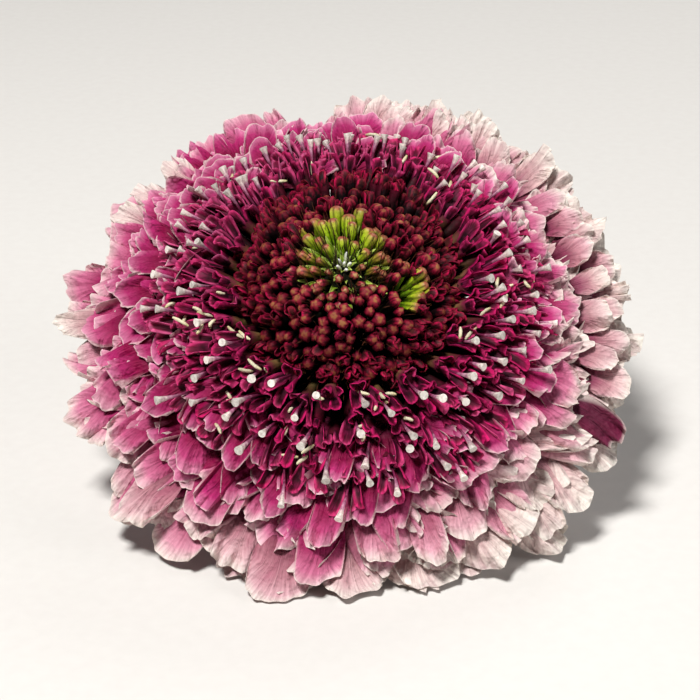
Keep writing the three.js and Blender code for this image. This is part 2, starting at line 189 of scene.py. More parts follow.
def blade_outline(u, a, length, width, scallop, shape, phase, waves):
    """How far each column of a blade reaches, as a share of its length, and the half width at each row. The
    tip is half an ellipse, `tip` half widths long, with scallops of three sine waves. The half width grows
    from `foot` to 1 as sin^swell up to the shoulder, and past it narrows by taper (u - shoulder)^2."""
    nicks = 0.8 * np.sin(4 * waves[1] * a + phase[3])
    nicks = nicks + 0.4 * np.sin(8.5 * waves[0] * a + phase[4])
    nicks = nicks + 0.25 * np.sin(16 * waves[2] * a + phase[0])
    arc = np.minimum(0.7, shape["tip"] * width / length)
    top = 1 - arc + arc * np.cos(a * math.pi / 2) ** 0.9 + column(scallop) / length * nicks
    grow = np.sin(np.minimum(u / shape["shoulder"], 1) * math.pi / 2) ** shape["swell"]
    narrow = 1 - shape["taper"] * np.maximum(u - shape["shoulder"], 0) ** 2
    return top, width * (shape["foot"] + (1 - shape["foot"]) * grow) * narrow


def blade_ripples(u, a, frill, pleat, phase, waves):
    """How far ripples move a blade along its normal: a frill of four sine waves that grow towards the rim,
    and pleats that run from foot to tip."""
    frilled = 0.5 * np.sin(5.2 * waves[0] * a + phase[0])
    frilled = frilled + 0.5 * u ** 2 * np.sin(10 * waves[1] * a + phase[1])
    frilled = frilled + 0.6 * np.sin(a * math.pi / 2) * np.sin(6.5 * waves[2] * u + phase[2])
    frilled = frilled + 0.3 * u ** 4 * np.sin(15 * waves[2] * a + phase[4])
    pleats = np.sin(11 * waves[1] * a + phase[3] + 1.5 * np.sin(3 * u + phase[4]))
    return column(frill) * u ** 1.8 * frilled + column(pleat) * u * pleats


def blades(base, out, up, length, width, pitch, shape, grid, roll=0, cup=0, fold=0, frill=0,
           pleat=0, scallop=0, sway=0, seed=0):
    """Mid surfaces of thin blades as (item, row, column, xyz), each point's distance from the rim, and its
    place across the fan of veins: the angle at a point 2.2 half widths behind the tip, in millimetres there.

    Rows u run from foot to tip and columns v across, v = sin(pi a / 2) of the even column a. The slope over
    the plane of `out` turns evenly from the first pitch to the last. Off the midline the surface is moved
    along its normal by cup v^2 + fold |v| and by the ripples. The blade twists by roll s and bends sideways
    by sway s^2."""
    rng = np.random.default_rng(seed)
    base, out, up = (np.reshape(vectors, (-1, 1, 1, 3)) for vectors in (base, out, up))
    length, width, first, last = (column(value) for value in (length, width, *pitch))
    u = np.linspace(0, 1, grid[0])[None, :, None]
    a = np.linspace(-1, 1, grid[1])[None, None, :]
    v = np.sin(a * math.pi / 2)
    phase = rng.uniform(0, 2 * math.pi, (5, len(base), 1, 1))
    waves = rng.uniform(0.75, 1.3, (3, len(base), 1, 1))
    top, half = blade_outline(u, a, length, width, scallop, shape, phase, waves)
    s = u * top
    bend = last - first + 1e-6
    slope = first + bend * s
    run = length * (np.sin(slope) - np.sin(first)) / bend
    rise = length * (np.cos(first) - np.cos(slope)) / bend
    off = (column(cup) * v ** 2 + column(fold) * np.abs(v)) * u
    off = off + blade_ripples(u, a, frill, pleat, phase, waves)
    twist, bent = column(roll) * s, column(sway) * s ** 2
    slope, run, rise, off, twist, bent = (x[..., None] for x in (slope, run, rise, off, twist, bent))
    side = np.cross(out, up)
    normal = np.cos(slope) * up - np.sin(slope) * out
    across = np.cos(twist) * side + np.sin(twist) * normal
    normal = np.cos(twist) * normal - np.sin(twist) * side
    points = base + bent * side + run * out + rise * up + (half * v)[..., None] * across + off * normal
    rim = np.minimum(length * top * (1 - u), half * (1 - np.abs(v)))
    fan_r = 2.2 * width
    fan = fan_r * np.arctan2(half * v, np.maximum(length * (s - 1) + fan_r, 0.3 * fan_r))
    return points, rim, fan


def grid_quads(rows, columns, closed=False):
    """The quads of one grid of points, row by row; a closed grid joins its last column to the first."""
    row, left = np.meshgrid(np.arange(rows - 1), np.arange(columns if closed else columns - 1), indexing="ij")
    right = (left + 1) % columns
    near, far = row * columns, (row + 1) * columns
    return np.stack([near + left, near + right, far + right, far + left], -1).reshape(-1, 4)


def repeated(faces, count, step):
    """The same faces for each item, whose points follow each other `step` apart."""
    return (faces[None] + np.arange(count)[:, None, None] * step).reshape(-1, faces.shape[-1])


def spread(values, grid):
    """Values that fit a grid, as one row for each point."""
    return np.stack([np.broadcast_to(value, grid) for value in values], -1).reshape(-1, len(values))


def shell(surfaces, thickness, trait):
    """A closed skin round each mid surface: the grid moved half the thickness to each side along its normals,
    thinner at the rim, and a strip of quads round the rim."""
    points, rim, fan = surfaces
    count, rows, columns, _ = points.shape
    normal = unit(np.cross(np.gradient(points, axis=2), np.gradient(points, axis=1)))
    half = thickness / 2 * (0.3 + 0.7 * np.minimum(1, rim / 0.5))[..., None]
    size = rows * columns
    quads = grid_quads(rows, columns)
    index = np.arange(size).reshape(rows, columns)
    loop = np.concatenate([index[0, :-1], index[:-1, -1], index[-1, :0:-1], index[:0:-1, 0]])
    after = np.roll(loop, -1)
    strip = np.stack([after, loop, loop + size, after + size], -1)
    faces = np.concatenate([quads, quads[:, ::-1] + size, strip])
    both = np.stack([points + half * normal, points - half * normal], 1)
    along = np.linspace(0, 1, rows)[None, None, :, None]
    under = np.array([0.0, 1.0])[None, :, None, None]
    grid = (count, 2, rows, columns)
    return {
        "points": both.reshape(-1, 3),
        "quads": repeated(faces, count, 2 * size),
        "tris": np.zeros((0, 3), int),
        "uv": spread([0.5 + fan[:, None] / FAN_SPAN, along], grid),
        "trait": spread([column(trait[0])[..., None], under, column(trait[1])[..., None]], grid),
        "rim": np.broadcast_to(rim[:, None], grid).ravel(),
    }


def rods(path, radius, sides, trait=(0.5, 0.5), ribs=5, sideways=None):
    """Closed round skins: at each point of a path (item, step, xyz) a ring of the radius (step), (item, step)
    or (item, step, side), square to the path, and a fan of triangles at each end."""
    count, steps, _ = path.shape
    along = unit(np.gradient(path, axis=1))
    if sideways is None:
        sideways = np.where(np.abs(along[:, :1, 2:]) > 0.9, [[[1.0, 0, 0]]], [[UP]])
    first = unit(sideways - np.sum(sideways * along, -1, keepdims=True) * along)
    second = np.cross(along, first)
    turn = np.arange(sides) * 2 * math.pi / sides
    if np.ndim(radius) < 3:
        radius = np.atleast_2d(radius)[..., None]
    spoke = np.cos(turn)[:, None] * first[:, :, None] + np.sin(turn)[:, None] * second[:, :, None]
    rings = path[:, :, None] + np.broadcast_to(radius, (count, steps, sides))[..., None] * spoke
    points = np.concatenate([rings.reshape(count, -1, 3), path[:, :1], path[:, -1:]], 1)
    last = (steps - 1) * sides
    k = np.arange(sides)
    after = (k + 1) % sides
    start = np.stack([np.full(sides, steps * sides), after, k], -1)
    end = np.stack([np.full(sides, steps * sides + 1), last + k, last + after], -1)
    size = steps * sides + 2
    ribbed = np.append(np.tile(0.5 + 0.5 * np.cos(ribs * turn), steps), [0.5, 0.5])
    height = np.append(np.repeat(np.linspace(0, 1, steps), sides), [0, 1])
    tone, chance = (np.reshape(np.asarray(value, float), (-1, 1)) for value in trait)
    return {
        "points": points.reshape(-1, 3),
        "quads": repeated(grid_quads(steps, sides, closed=True), count, size),
        "tris": repeated(np.concatenate([start, end]), count, size),
        "uv": spread([ribbed, height], (count, size)),
        "trait": spread([tone, 0.0, chance], (count, size)),
        "rim": np.ones(count * size),
    }


# ---- meshes


def made(name, parts, material, node, place=placed):
    """One mesh object from several parts, with a UV map, the attributes trait (tone, underside, chance) and
    rim, and the given material. It stands for a node of the solid part, whose own mesh it hides."""
    starts = np.cumsum([0] + [len(part["points"]) for part in parts])
    quads, tris = (
        np.concatenate([part[key] + start for part, start in zip(parts, starts)]) for key in ("quads", "tris")
    )
    points, uv, trait, rim = (
        np.concatenate([part[key] for part in parts]) for key in ("points", "uv", "trait", "rim")
    )
    corners = np.concatenate([quads.ravel(), tris.ravel()])
    loops = np.concatenate([np.arange(len(quads)) * 4, quads.size + np.arange(len(tris)) * 3])
    mesh = bpy.data.meshes.new(name)
    mesh.vertices.add(len(points))
    mesh.loops.add(len(corners))
    mesh.polygons.add(len(loops))
    mesh.vertices.foreach_set("co", place(points).astype(np.float32).ravel())
    mesh.loops.foreach_set("vertex_index", corners.astype(np.int32))
    mesh.polygons.foreach_set("loop_start", loops.astype(np.int32))
    mesh.update(calc_edges=True)
    mesh.uv_layers.new(name="UVMap").data.foreach_set("uv", uv[corners].astype(np.float32).ravel())
    traits = mesh.attributes.new("trait", "FLOAT_VECTOR", "POINT")
    traits.data.foreach_set("vector", trait.astype(np.float32).ravel())
    mesh.attributes.new("rim", "FLOAT", "POINT").data.foreach_set("value", rim.astype(np.float32))
    mesh.shade_smooth()
    mesh.set_sharp_from_angle(angle=math.radians(60))
    mesh.materials.append(material)
    piece = bpy.data.objects.new(name, mesh)
    bpy.context.scene.collection.objects.link(piece)
    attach(piece, "root")
    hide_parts(node)


# ---- materials: colours run from foot to tip of a blade or a rod


def linear(code):
    """An sRGB hex colour such as "#c04a86" as linear RGBA."""
    parts = [int(code[i:i + 2], 16) / 255 for i in (1, 3, 5)]
    return [c / 12.92 if c <= 0.04045 else ((c + 0.055) / 1.055) ** 2.4 for c in parts] + [1.0]


def add_node(tree, kind, inputs=(), stops=(), out=0, **settings):
    """Adds a shader node: its settings, its inputs as values, hex colours or sockets to link, and the stops
    of a ramp. Gives its output of the number or name `out`, or a list of them for a slice."""
    node = tree.nodes.new("ShaderNode" + kind)
    for name, value in settings.items():
        setattr(node, name, value)
    for place, value in dict(inputs).items():
        if isinstance(value, bpy.types.NodeSocket):
            tree.links.new(value, node.inputs[place])
        else:
            node.inputs[place].default_value = linear(value) if isinstance(value, str) else value
    for place, colour in dict(stops).items():
        ramp = node.color_ramp.elements
        ends = {0: ramp[0], 1: ramp[-1]}
        stop = ends[place] if place in ends else ramp.new(place)
        stop.color = linear(colour)
    return node.outputs[out]


def material(name):
    """A new material with an empty node tree, and the function that adds a node to it."""
    new = bpy.data.materials.new(name)
    new.use_nodes = True
    new.node_tree.nodes.clear()
    return new, functools.partial(add_node, new.node_tree)


def surface_facts(add):
    """The sockets that patterns read: across and along (the UV map), tone, underside, chance and rim."""
    across, along, _ = add("SeparateXYZ", {0: add("UVMap", uv_map="UVMap")}, out=slice(None))
    trait = add("Attribute", attribute_name="trait", out="Vector")
    tone, under, chance = add("SeparateXYZ", {0: trait}, out=slice(None))
    rim = add("Attribute", attribute_name="rim", out="Fac")
    return across, along, tone, under, chance, rim


def blade_spot(add, across, along, chance, apart):
    """A place on a blade for noise to read, up to `apart` off by its chance, so that no two are alike."""
    shift = add("Math", {0: chance, 1: apart}, operation="MULTIPLY")
    return add("CombineXYZ", {0: across, 1: along, 2: shift})


def streaked(add, spot, size, rows, detail):
    """Noise with features of a size in millimetres across a blade and so many rows of them along it."""
    cells = add("VectorMath", {0: spot, 1: (FAN_SPAN / size, rows, 1.0)}, operation="MULTIPLY")
    return add("TexNoise", {"Vector": cells, "Scale": 1.0, "Detail": detail})


def grained(add, size):
    """Noise with features of a size in millimetres on Object coordinates."""
    return add("TexNoise", {"Vector": add("TexCoord", out="Object"), "Scale": 1 / (size * MM), "Detail": 2.0})


def finished(add, colour, layers, roughness, height, depth, glow=0.0, specular=0.5):
    """The surface itself: layers of colour over the first, each by its share, then Principled with the
    pattern's bump, its depth in millimetres, and a share of Translucent where light shines through."""
    for share, over in layers:
        colour = add("Mix", {0: share, 6: colour, 7: over}, out=2, data_type="RGBA")
    normal = add("Bump", {"Strength": 1.0, "Distance": depth * MM, "Height": height})
    inputs = {"Base Color": colour, "Roughness": roughness, "Normal": normal, "Specular IOR Level": specular}
    shader = add("BsdfPrincipled", inputs)
    if glow:
        through = add("BsdfTranslucent", {"Color": colour, "Normal": normal})
        shader = add("MixShader", {0: glow, 1: shader, 2: through})
    add("OutputMaterial", {0: shader}, out=slice(None))


# The ray petals' colours from foot to tip: blush, hot pink, cream, deep magenta. Their dark feet are partly
# the petal's own deeper colour and partly painted shade, nearly black, where petals lie under each other.
PETAL_COLOURS = [
    {0: "#120107", 0.24: "#2e0214", 0.46: "#820a3c", 0.68: "#ba3472", 0.86: "#ea94b4", 1: "#fcf0e8"},
    {0: "#0c0004", 0.3: "#20010c", 0.54: "#600028", 0.72: "#980048", 0.87: "#c8327c", 1: "#f89cc6"},
    {0: "#1c040c", 0.22: "#501426", 0.42: "#a8647a", 0.64: "#e4bcbc", 0.86: "#faeae2", 1: "#fefaf0"},
    {0: "#26020c", 0.3: "#560624", 0.7: "#7a143a", 0.93: "#862048", 1: "#a04468"},
]


def ray_petal():
    """Living petal tissue, a few cells thick: satin, lit through, with veins that fan out and a pale rim. The
    tone turns it from cream at -1 through blush and hot pink to deep magenta at 2 and faded wine red at 3."""
    new, add = material("living_petal_tissue")
    across, along, tone, under, chance, rim = surface_facts(add)
    blush, hot, cream, deep = (add("ValToRGB", {0: along}, stops) for stops in PETAL_COLOURS)
    paleness = add("MapRange", {0: tone, 1: 0.0, 2: -1.0})
    depth = add("MapRange", {0: tone, 1: 1.0, 2: 2.0})
    wilted = add("MapRange", {0: tone, 1: 2.0, 2: 3.0})
    wine = add("Math", {0: wilted, 1: 0.7}, operation="MULTIPLY")
    # The veins fan out from the foot. Real ones are 0.2 mm apart, and these are drawn 0.4 mm apart to show.
    spot = blade_spot(add, across, along, chance, 40.0)
    veins = streaked(add, spot, 0.4, 1.8, 3.0)
    vein = add("MapRange", {0: veins, 1: 0.36, 2: 0.62, 3: 0.32, 4: 0.0})
    # Blotches 4 mm across, as the colour ages unevenly.
    blotches = streaked(add, spot, 4.0, 2.4, 2.0)
    blotch = add("MapRange", {0: blotches, 1: 0.45, 2: 0.75, 4: 0.36})
    # A cream line along the very edge of the outer part, with browned nicks 1.6 mm long here and there.
    width = add("MapRange", {0: wilted, 3: 0.17, 4: 0.42})
    edge = add("MapRange", {0: rim, 1: 0.02, 2: width, 3: 0.55, 4: 0.0})
    outer = add("MapRange", {0: along, 1: 0.68, 2: 0.92})
    outer = add("Math", {0: outer, 1: wilted}, operation="MAXIMUM")
    line = add("Math", {0: edge, 1: outer}, operation="MULTIPLY")
    nicks = streaked(add, spot, 1.6, 5.0, 1.0)
    nick = add("MapRange", {0: nicks, 1: 0.66, 2: 0.72, 4: 0.8})
    nick = add("Math", {0: nick, 1: line}, operation="MULTIPLY")
    paler = add("Math", {0: under, 1: 0.14}, operation="MULTIPLY")
    roughness = add("MapRange", {0: veins, 3: 0.52, 4: 0.7})
    # The tissue is crumpled in soft folds 1.3 mm apart.
    height = add("Math", {0: grained(add, 1.3), 1: 3.0, 2: veins}, operation="MULTIPLY_ADD")
    layers = [
        (tone, hot), (paleness, cream), (depth, deep), (wine, "#54283c"), (vein, "#740836"),
        (blotch, "#ac3266"), (line, "#f3e8de"), (nick, "#7c6a35"), (paler, "#dcb4bc"),
    ]
    finished(add, blush, layers, roughness, height, 0.28, glow=0.15, specular=0.2)
    return new


def disc_petal(name, plain, warm, shade, rim_sheen, bright, bloom):
    """A velvety floret lobe: painted shade darkens it to its foot and in its hollow middle, a painted sheen
    brightens its rim, the more by its chance and tone, and it has a bloom in patches. The tone turns it from
    the plain to the warm colours."""
    new, add = material(name)
    across, along, tone, _, chance, rim = surface_facts(add)
    # Painted shade: the lobe's hollow middle, away from the rim, darkens towards near black.
    inside = add("MapRange", {0: rim, 1: 0.16, 2: 0.42, 4: 0.55})
    # Painted sheen: a bright line along the rim, the brighter by chance and tone, that turns to painted shade
    # towards the foot.
    edge = add("MapRange", {0: rim, 1: 0.05, 2: 0.22, 3: 1.0, 4: 0.0})
    brightness = add("Math", {0: chance, 1: tone}, operation="MULTIPLY")
    line = add("Mix", {0: brightness, 6: rim_sheen, 7: bright}, out=2, data_type="RGBA")
    outwards = add("MapRange", {0: along, 1: 0.05, 2: 0.6})
    line = add("Mix", {0: outwards, 6: shade, 7: line}, out=2, data_type="RGBA")
    # The bloom lies in patches 5 mm apart, so that a lobe has part of one.
    spot = blade_spot(add, across, along, chance, 30.0)
    patches = add("TexNoise", {"Vector": spot, "Scale": FAN_SPAN / 5.0, "Detail": 2.0})
    patch = add("MapRange", {0: patches, 1: 0.45, 2: 0.7, 4: 0.36})
    # Streaks 0.3 mm apart run along the lobe.
    streaks = streaked(add, spot, 0.3, 2.0, 2.0)
    streak = add("MapRange", {0: streaks, 1: 0.38, 2: 0.6, 3: 0.55, 4: 0.0})
    layers = [
        (tone, add("ValToRGB", {0: along}, warm)), (inside, "#12000a"), (edge, line), (patch, bloom),
        (streak, shade),
    ]
    finished(add, add("ValToRGB", {0: along}, plain), layers, 0.6, streaks, 0.1, glow=0.1, specular=0.2)
    return new


def along_rod(name, stops, roughness, grain, depth, other=(), groove=0.7, **light):
    """A living tube, bud or hair with painted shade in its grooves, which fades out at the tip, and a fine
    grain, its size in millimetres. A tone of 1 turns its colours to the other stops."""
    new, add = material(name)
    ribs, along, tone, _, chance, _ = surface_facts(add)
    noise = grained(add, grain)
    uneven = add("MapRange", {0: noise, 1: 0.3, 2: 0.7, 3: -0.07, 4: 0.07})
    place = add("Math", {0: along, 1: uneven})
    first = add("ValToRGB", {0: place}, stops)
    second = add("ValToRGB", {0: place}, other or stops)
    colour = add("Mix", {0: tone, 6: first, 7: second}, out=2, data_type="RGBA")
    value = add("MapRange", {0: noise, 1: 0.3, 2: 0.7, 3: 0.72, 4: 1.18})
    chosen = add("Math", {0: chance, 1: 0.3}, operation="MULTIPLY")
    varied = add("Math", {0: value, 1: 0.75, 2: chosen}, operation="MULTIPLY_ADD")
    # Painted shade in the grooves between the ribs, down to `groove` of the colour, and none at the tip.
    groove_shade = add("MapRange", {0: ribs, 1: 0.0, 2: 0.5, 3: groove, 4: 1.0})
    at_tip = add("MapRange", {0: along, 1: 0.76, 2: 0.98})
    groove_shade = add("Math", {0: groove_shade, 1: at_tip}, operation="MAXIMUM")
    shade = add("Math", {0: varied, 1: groove_shade}, operation="MULTIPLY")
    grey = add("CombineColor", {0: shade, 1: shade, 2: shade})
    colour = add("Mix", {0: 1.0, 6: colour, 7: grey}, out=2, data_type="RGBA", blend_type="MULTIPLY")
    finished(add, colour, [], roughness, noise, depth, **light)
    return new


def plain_floor():
    """Matt pale card: an even warm grey-white with the faintest tooth."""
    new, add = material("matt_pale_card")
    tooth = grained(add, 1.5)
    finished(add, "#dcd9d5", [(tooth, "#e2e0dc")], 0.9, tooth, 0.02)
    return new


# ---- the ray florets

# The outlines of blades, as shares: the half width at the foot, where the shoulder lies, how the width swells
# to it and tapers past it, and the length of the tip in half widths.
SPATULA = {"foot": 0.16, "shoulder": 0.8, "swell": 1.5, "taper": 0.8, "tip": 0.95}
SPOON = {"foot": 0.42, "shoulder": 0.8, "swell": 1.3, "taper": 0.0, "tip": 1.1}
LANCE = {"foot": 0.8, "shoulder": 0.35, "swell": 1.0, "taper": 1.5, "tip": 3.0}

LOWEST = 0.35  # how high over the floor the lowest petals lie
# The whorls: `mouth` is the radius and height of the tubes' mouths, `share` the least and most of the reach
# that lobes have, `pitch` their slope at foot and tip in degrees, `width` a half width, `first` the first
# azimuth, `root` the angle from the axis where tubes root, and `tone` and `fade` the colour and how far
# fading takes it.
WHORLS = [
    {
        "name": "outer_rays", "node": "outer_ray_florets", "florets": 28, "mouth": (19.0, -0.9),
        "reach": 33.0, "share": (0.9, 1.04), "pitch": (4, -20), "frill": 0.66, "width": 2.75,
        "lowest": LOWEST, "first": 0, "root": 97, "tone": 0.5, "fade": 2.3, "grid": (11, 25), "seed": 11,
    },
    {
        "name": "middle_rays", "node": "middle_ray_florets", "florets": 27, "mouth": (17.5, 1.7),
        "reach": 30.8, "share": (0.84, 1.04), "pitch": (6, -20), "frill": 0.6, "width": 2.45,
        "lowest": 1.8, "first": 8, "root": 88, "tone": 1.0, "fade": 1.75, "grid": (11, 23), "seed": 22,
    },
    {
        "name": "inner_rays", "node": "inner_ray_florets", "florets": 26, "mouth": (15.5, 4.0),
        "reach": 28.0, "share": (0.82, 1.04), "pitch": (9, -20), "frill": 0.52, "width": 2.15,
        "lowest": 3.0, "first": 5, "root": 80, "tone": 1.4, "fade": 1.3, "grid": (10, 19), "seed": 33,
    },
    {
        "name": "short_rays", "node": "inner_ray_florets", "florets": 24, "mouth": (14.0, 5.8),
        "reach": 25.0, "share": (0.82, 1.04), "pitch": (14, -16), "frill": 0.4, "width": 1.7,
        "lowest": 3.7, "first": 14, "root": 74, "tone": 1.75, "fade": 0.8, "grid": (9, 15), "seed": 44,
    },
]

# A ray floret's lobes: the turn from straight out, shares of the reach and of the half width, and the level.
LOBE_TURNS = np.radians([0, -31, 31, -72, 72])
LOBE_SHARES = np.array([1.0, 0.96, 0.96, 0.86, 0.86])
LOBE_WIDTHS = np.array([1.0, 0.94, 0.94, 0.7, 0.7])
LOBE_LEVELS = np.array([0.2, -0.2, 0.1, 0.5, 0.7])
RAY_TUBE_RADII = [0.45, 0.55, 0.8, 1.0]

# Where petals lift at the back right, and where they are most ruffled at the front right.
LIFTED = {"turn": math.radians(24), "azimuth": math.radians(60), "spread": math.radians(60)}
RUFFLED = {"more": 1.2, "azimuth": math.radians(303), "spread": math.radians(24), "most": 1.0}


def golden_ranks(angles):
    """Ranks from -1 to 1 that keep neighbours apart: by the golden ratio, in the order of their angles."""
    order = np.argsort(np.argsort(angles, axis=None)).reshape(angles.shape)
    return 2 * (order * GOLDEN_RATIO % 1) - 1


def ray_whorl(whorl, petal, tube_finish):
    """A whorl of ray florets, evenly spaced and a little varied. Each has a tube that leans out of the
    receptacle and five lobes that fan out from its mouth, the middle one the largest."""
    rng = np.random.default_rng(whorl["seed"])
    florets = whorl["florets"]
    mouth_r, mouth_z = whorl["mouth"]
    place = np.arange(florets) + rng.uniform(-0.14, 0.14, florets)
    azimuth = math.radians(whorl["first"]) + place * 2 * math.pi / florets
    mouth = outward(azimuth) * mouth_r + mouth_z * UP
    mouth[:, 2] += 0.5 * (np.arange(florets) % 2)
    made(whorl["name"] + "_lobes", [ray_lobes(whorl, azimuth, mouth, rng)], petal, whorl["node"])
    root = polar(RECEPTACLE_R, math.radians(whorl["root"]), azimuth)
    path = between(root, mouth + outward(azimuth) * 0.8, 9)
    radius = np.interp(np.linspace(0, 1, 9), [0, 0.35, 0.8, 1], RAY_TUBE_RADII)
    # Tone 1 gives these tubes the nearly black colours: painted shade under the lobes.
    tube = rods(path, radius, 10, (1.0, rng.uniform(0, 1, florets)))
    made(whorl["name"] + "_tubes", [tube], tube_finish, whorl["node"])


def ray_lobes(whorl, azimuth, mouth, rng):
    """The lobes of a whorl. A lobe that leaves a mouth at radius m at an angle d from straight out meets the
    reach R after sqrt(R^2 - m^2 sin^2 d) - m cos d."""
    each = (whorl["florets"], len(LOBE_TURNS))
    turn = LOBE_TURNS + rng.uniform(-0.17, 0.17, each)
    heading = azimuth[:, None] + turn
    tip_at = azimuth[:, None] + 0.4 * turn
    rank = golden_ranks(tip_at)
    low, high = whorl["share"]
    share = (low + high - (high - low) * rank) / 2 * rng.uniform(0.96, 1.0, each) * LOBE_SHARES
    reach = whorl["reach"] * reach_at(tip_at) * share
    mouth_r = whorl["mouth"][0]
    length = np.sqrt(reach ** 2 - (mouth_r * np.sin(turn)) ** 2) - mouth_r * np.cos(turn)
    width = whorl["width"] * LOBE_WIDTHS * rng.uniform(0.7, 1.22, each)
    base = np.repeat(mouth[:, None], each[1], 1)
    base[..., 2] += LOBE_LEVELS + 0.6 * rank
    first = np.radians(whorl["pitch"][0] + 4 * rank)
    last = np.radians(whorl["pitch"][1] + 9 * rank + rng.uniform(-3, 3, each))
    last += LIFTED["turn"] * hill(heading, LIFTED["azimuth"], LIFTED["spread"])
    count = heading.size
    points, rim, fan = blades(
        base, outward(heading), UP, length, width, (first, last), SPATULA, whorl["grid"],
        roll=rng.normal(0, 0.2, count), cup=rng.normal(-0.4, 0.5, count), fold=rng.normal(0, 0.18, count),
        frill=ray_frill(whorl, heading, rng), pleat=0.13, scallop=rng.uniform(0.16, 0.42, count),
        sway=rng.normal(0, 0.8, count), seed=whorl["seed"],
    )
    points = laid(points, whorl["lowest"] + 0.5 * column(rank + 1))
    tone = whorl["tone"] - whorl["fade"] * round_head(FADED, tip_at) + rng.uniform(-0.25, 0.25, each)
    trait = np.clip(tone, -1, 1.4), rng.uniform(0, 1, count)
    return shell((points, rim, fan), PETAL_THICKNESS, trait)


def ray_frill(whorl, heading, rng):
    """How far the edges of the lobes wave: it varies by floret and by lobe, most at the front right."""
    frill = whorl["frill"] * rng.lognormal(0, 0.35, (len(heading), 1)) * rng.lognormal(0, 0.35, heading.shape)
    ruffled = 1 + RUFFLED["more"] * hill(heading, RUFFLED["azimuth"], RUFFLED["spread"])
    return np.minimum(frill * ruffled, RUFFLED["most"])


# Petals that stand out from the whorls: where each starts (the azimuth, and the radius and height of its
# foot), how far it reaches, and how it bends and turns. The second is dark, faded and folded.
STRAY_PETALS = [
    dict(azimuth=178, foot=(24, 0.2), reach=32.3, width=1.7, pitch=(3, -18), roll=0.3, tone=-1, tip=2.0),
    dict(azimuth=-24, foot=(22.5, 2.2), reach=31.8, width=2.0, pitch=(0, -22), roll=-0.8, tone=3, tip=1.3,
         sway=1.2),
    dict(azimuth=43, foot=(21, 2.2), reach=30.6, width=2.3, pitch=(6, 24), roll=0.7, tone=-1, tip=0.8),
    dict(azimuth=38, foot=(21, 1.4), reach=31.0, width=2.0, pitch=(4, 14), roll=-0.4, tone=-1, tip=1.1),
    dict(azimuth=57, foot=(21, 2.4), reach=29.2, width=2.1, pitch=(8, 26), roll=-0.4, tone=-1, tip=0.8),
    dict(azimuth=69, foot=(21, 2.6), reach=29.2, width=1.8, pitch=(10, 28), roll=0.4, tone=-0.9, tip=0.9),
    dict(azimuth=24, foot=(22, 1.4), reach=31.0, width=2.0, pitch=(4, 14), roll=0.6, tone=-1, tip=0.9),
    dict(azimuth=7, foot=(24, 1.6), reach=30.6, width=0.9, pitch=(5, 10), roll=0.2, tone=-1, tip=1.2),
    dict(azimuth=256, foot=(21, 1.1), reach=33.8, width=3.3, pitch=(0, -26), roll=0.1, tone=-0.5, tip=0.9),
    dict(azimuth=133, foot=(22, 0.2), reach=30.2, width=2.0, pitch=(0, 2), roll=0.3, tone=-1, tip=0.9),
    dict(azimuth=141, foot=(22, -0.1), reach=30.8, width=2.2, pitch=(0, -4), roll=-0.3, tone=-0.9, tip=0.9),
    dict(azimuth=149, foot=(22, 0.2), reach=30.6, width=2.0, pitch=(0, -2), roll=0.2, tone=-1, tip=1.0),
    dict(azimuth=223, foot=(21, 0.8), reach=32.6, width=2.6, pitch=(0, -22), roll=-0.2, tone=-0.6, tip=1.0),
]
# The second layer of pale petals on the right, its ends in degrees.
FRINGE = {"count": 26, "from": -14, "to": 84, "reach": (27.6, 30.6), "length": (5.0, 7.5), "height": 2.4,
          "width": (1.5, 2.2)}


def fringe_petals(rng):
    """The second pale layer on the right: small rounded blades in even steps, by turns short and long."""
    count = FRINGE["count"]
    azimuth = np.radians(np.linspace(FRINGE["from"], FRINGE["to"], count) + rng.uniform(-1.5, 1.5, count))
    rank = golden_ranks(azimuth)
    low, high = FRINGE["reach"]
    reach = (low + high - (high - low) * rank) / 2
    length = rng.uniform(*FRINGE["length"], count)
    foot = outward(azimuth) * (reach - length)[:, None]
    foot[:, 2] = FRINGE["height"] + 0.8 * rank
    pitch = np.radians(4 + 5 * rank), np.radians(4 + 9 * rank + rng.uniform(-8, 14, count))
    surfaces = blades(
        foot, outward(azimuth), UP, length, rng.uniform(*FRINGE["width"], count), pitch, SPATULA, (10, 19),
        roll=rng.normal(0, 0.3, count), cup=rng.normal(-0.4, 0.4, count), frill=rng.uniform(0.3, 0.7, count),
        pleat=0.1, scallop=rng.uniform(0.15, 0.3, count), sway=rng.normal(0, 0.6, count), seed=200,
    )
    return shell(surfaces, PETAL_THICKNESS, (rng.uniform(-1, -0.5, count), rng.uniform(0, 1, count)))


def stray_petals(petal):
    """The petals that stand out, each one blade from its foot to its reach, and the second pale layer."""
    parts = [fringe_petals(np.random.default_rng(99))]
    for i, stray in enumerate(STRAY_PETALS):
        out = outward(math.radians(stray["azimuth"]))
        foot_r, foot_z = stray["foot"]
        points, rim, fan = blades(
            out * foot_r + foot_z * UP, out, UP, stray["reach"] - foot_r, stray["width"],
            np.radians(stray["pitch"]), {**SPATULA, "tip": stray["tip"]}, (16, 25), roll=stray["roll"],
            cup=-0.6, frill=0.6, pleat=0.14, scallop=0.4, sway=stray.get("sway", 0), seed=100 + i,
        )
        points = laid(points, LOWEST)
        parts.append(shell((points, rim, fan), PETAL_THICKNESS, (stray["tone"], 0.1 * i)))
    made("stray_petals", parts, petal, "outer_ray_florets")


# ---- the disc florets

DISC_COUNT = 128
DISC_INNER_R = 11.4
DISC_OUTER_R = 17.4
DISC_FRONT = 2.6  # how much further out the disc reaches at the front
DISC_BACK = 3.0  # how much further out it starts at the back
DISC_TOP = 9.0
DISC_FALL = 0.39
# How far a disc floret's five lobes turn from straight out: three lean outwards, two short ones inwards.
DISC_TURNS = np.radians([0, 42, 140, -140, -42])
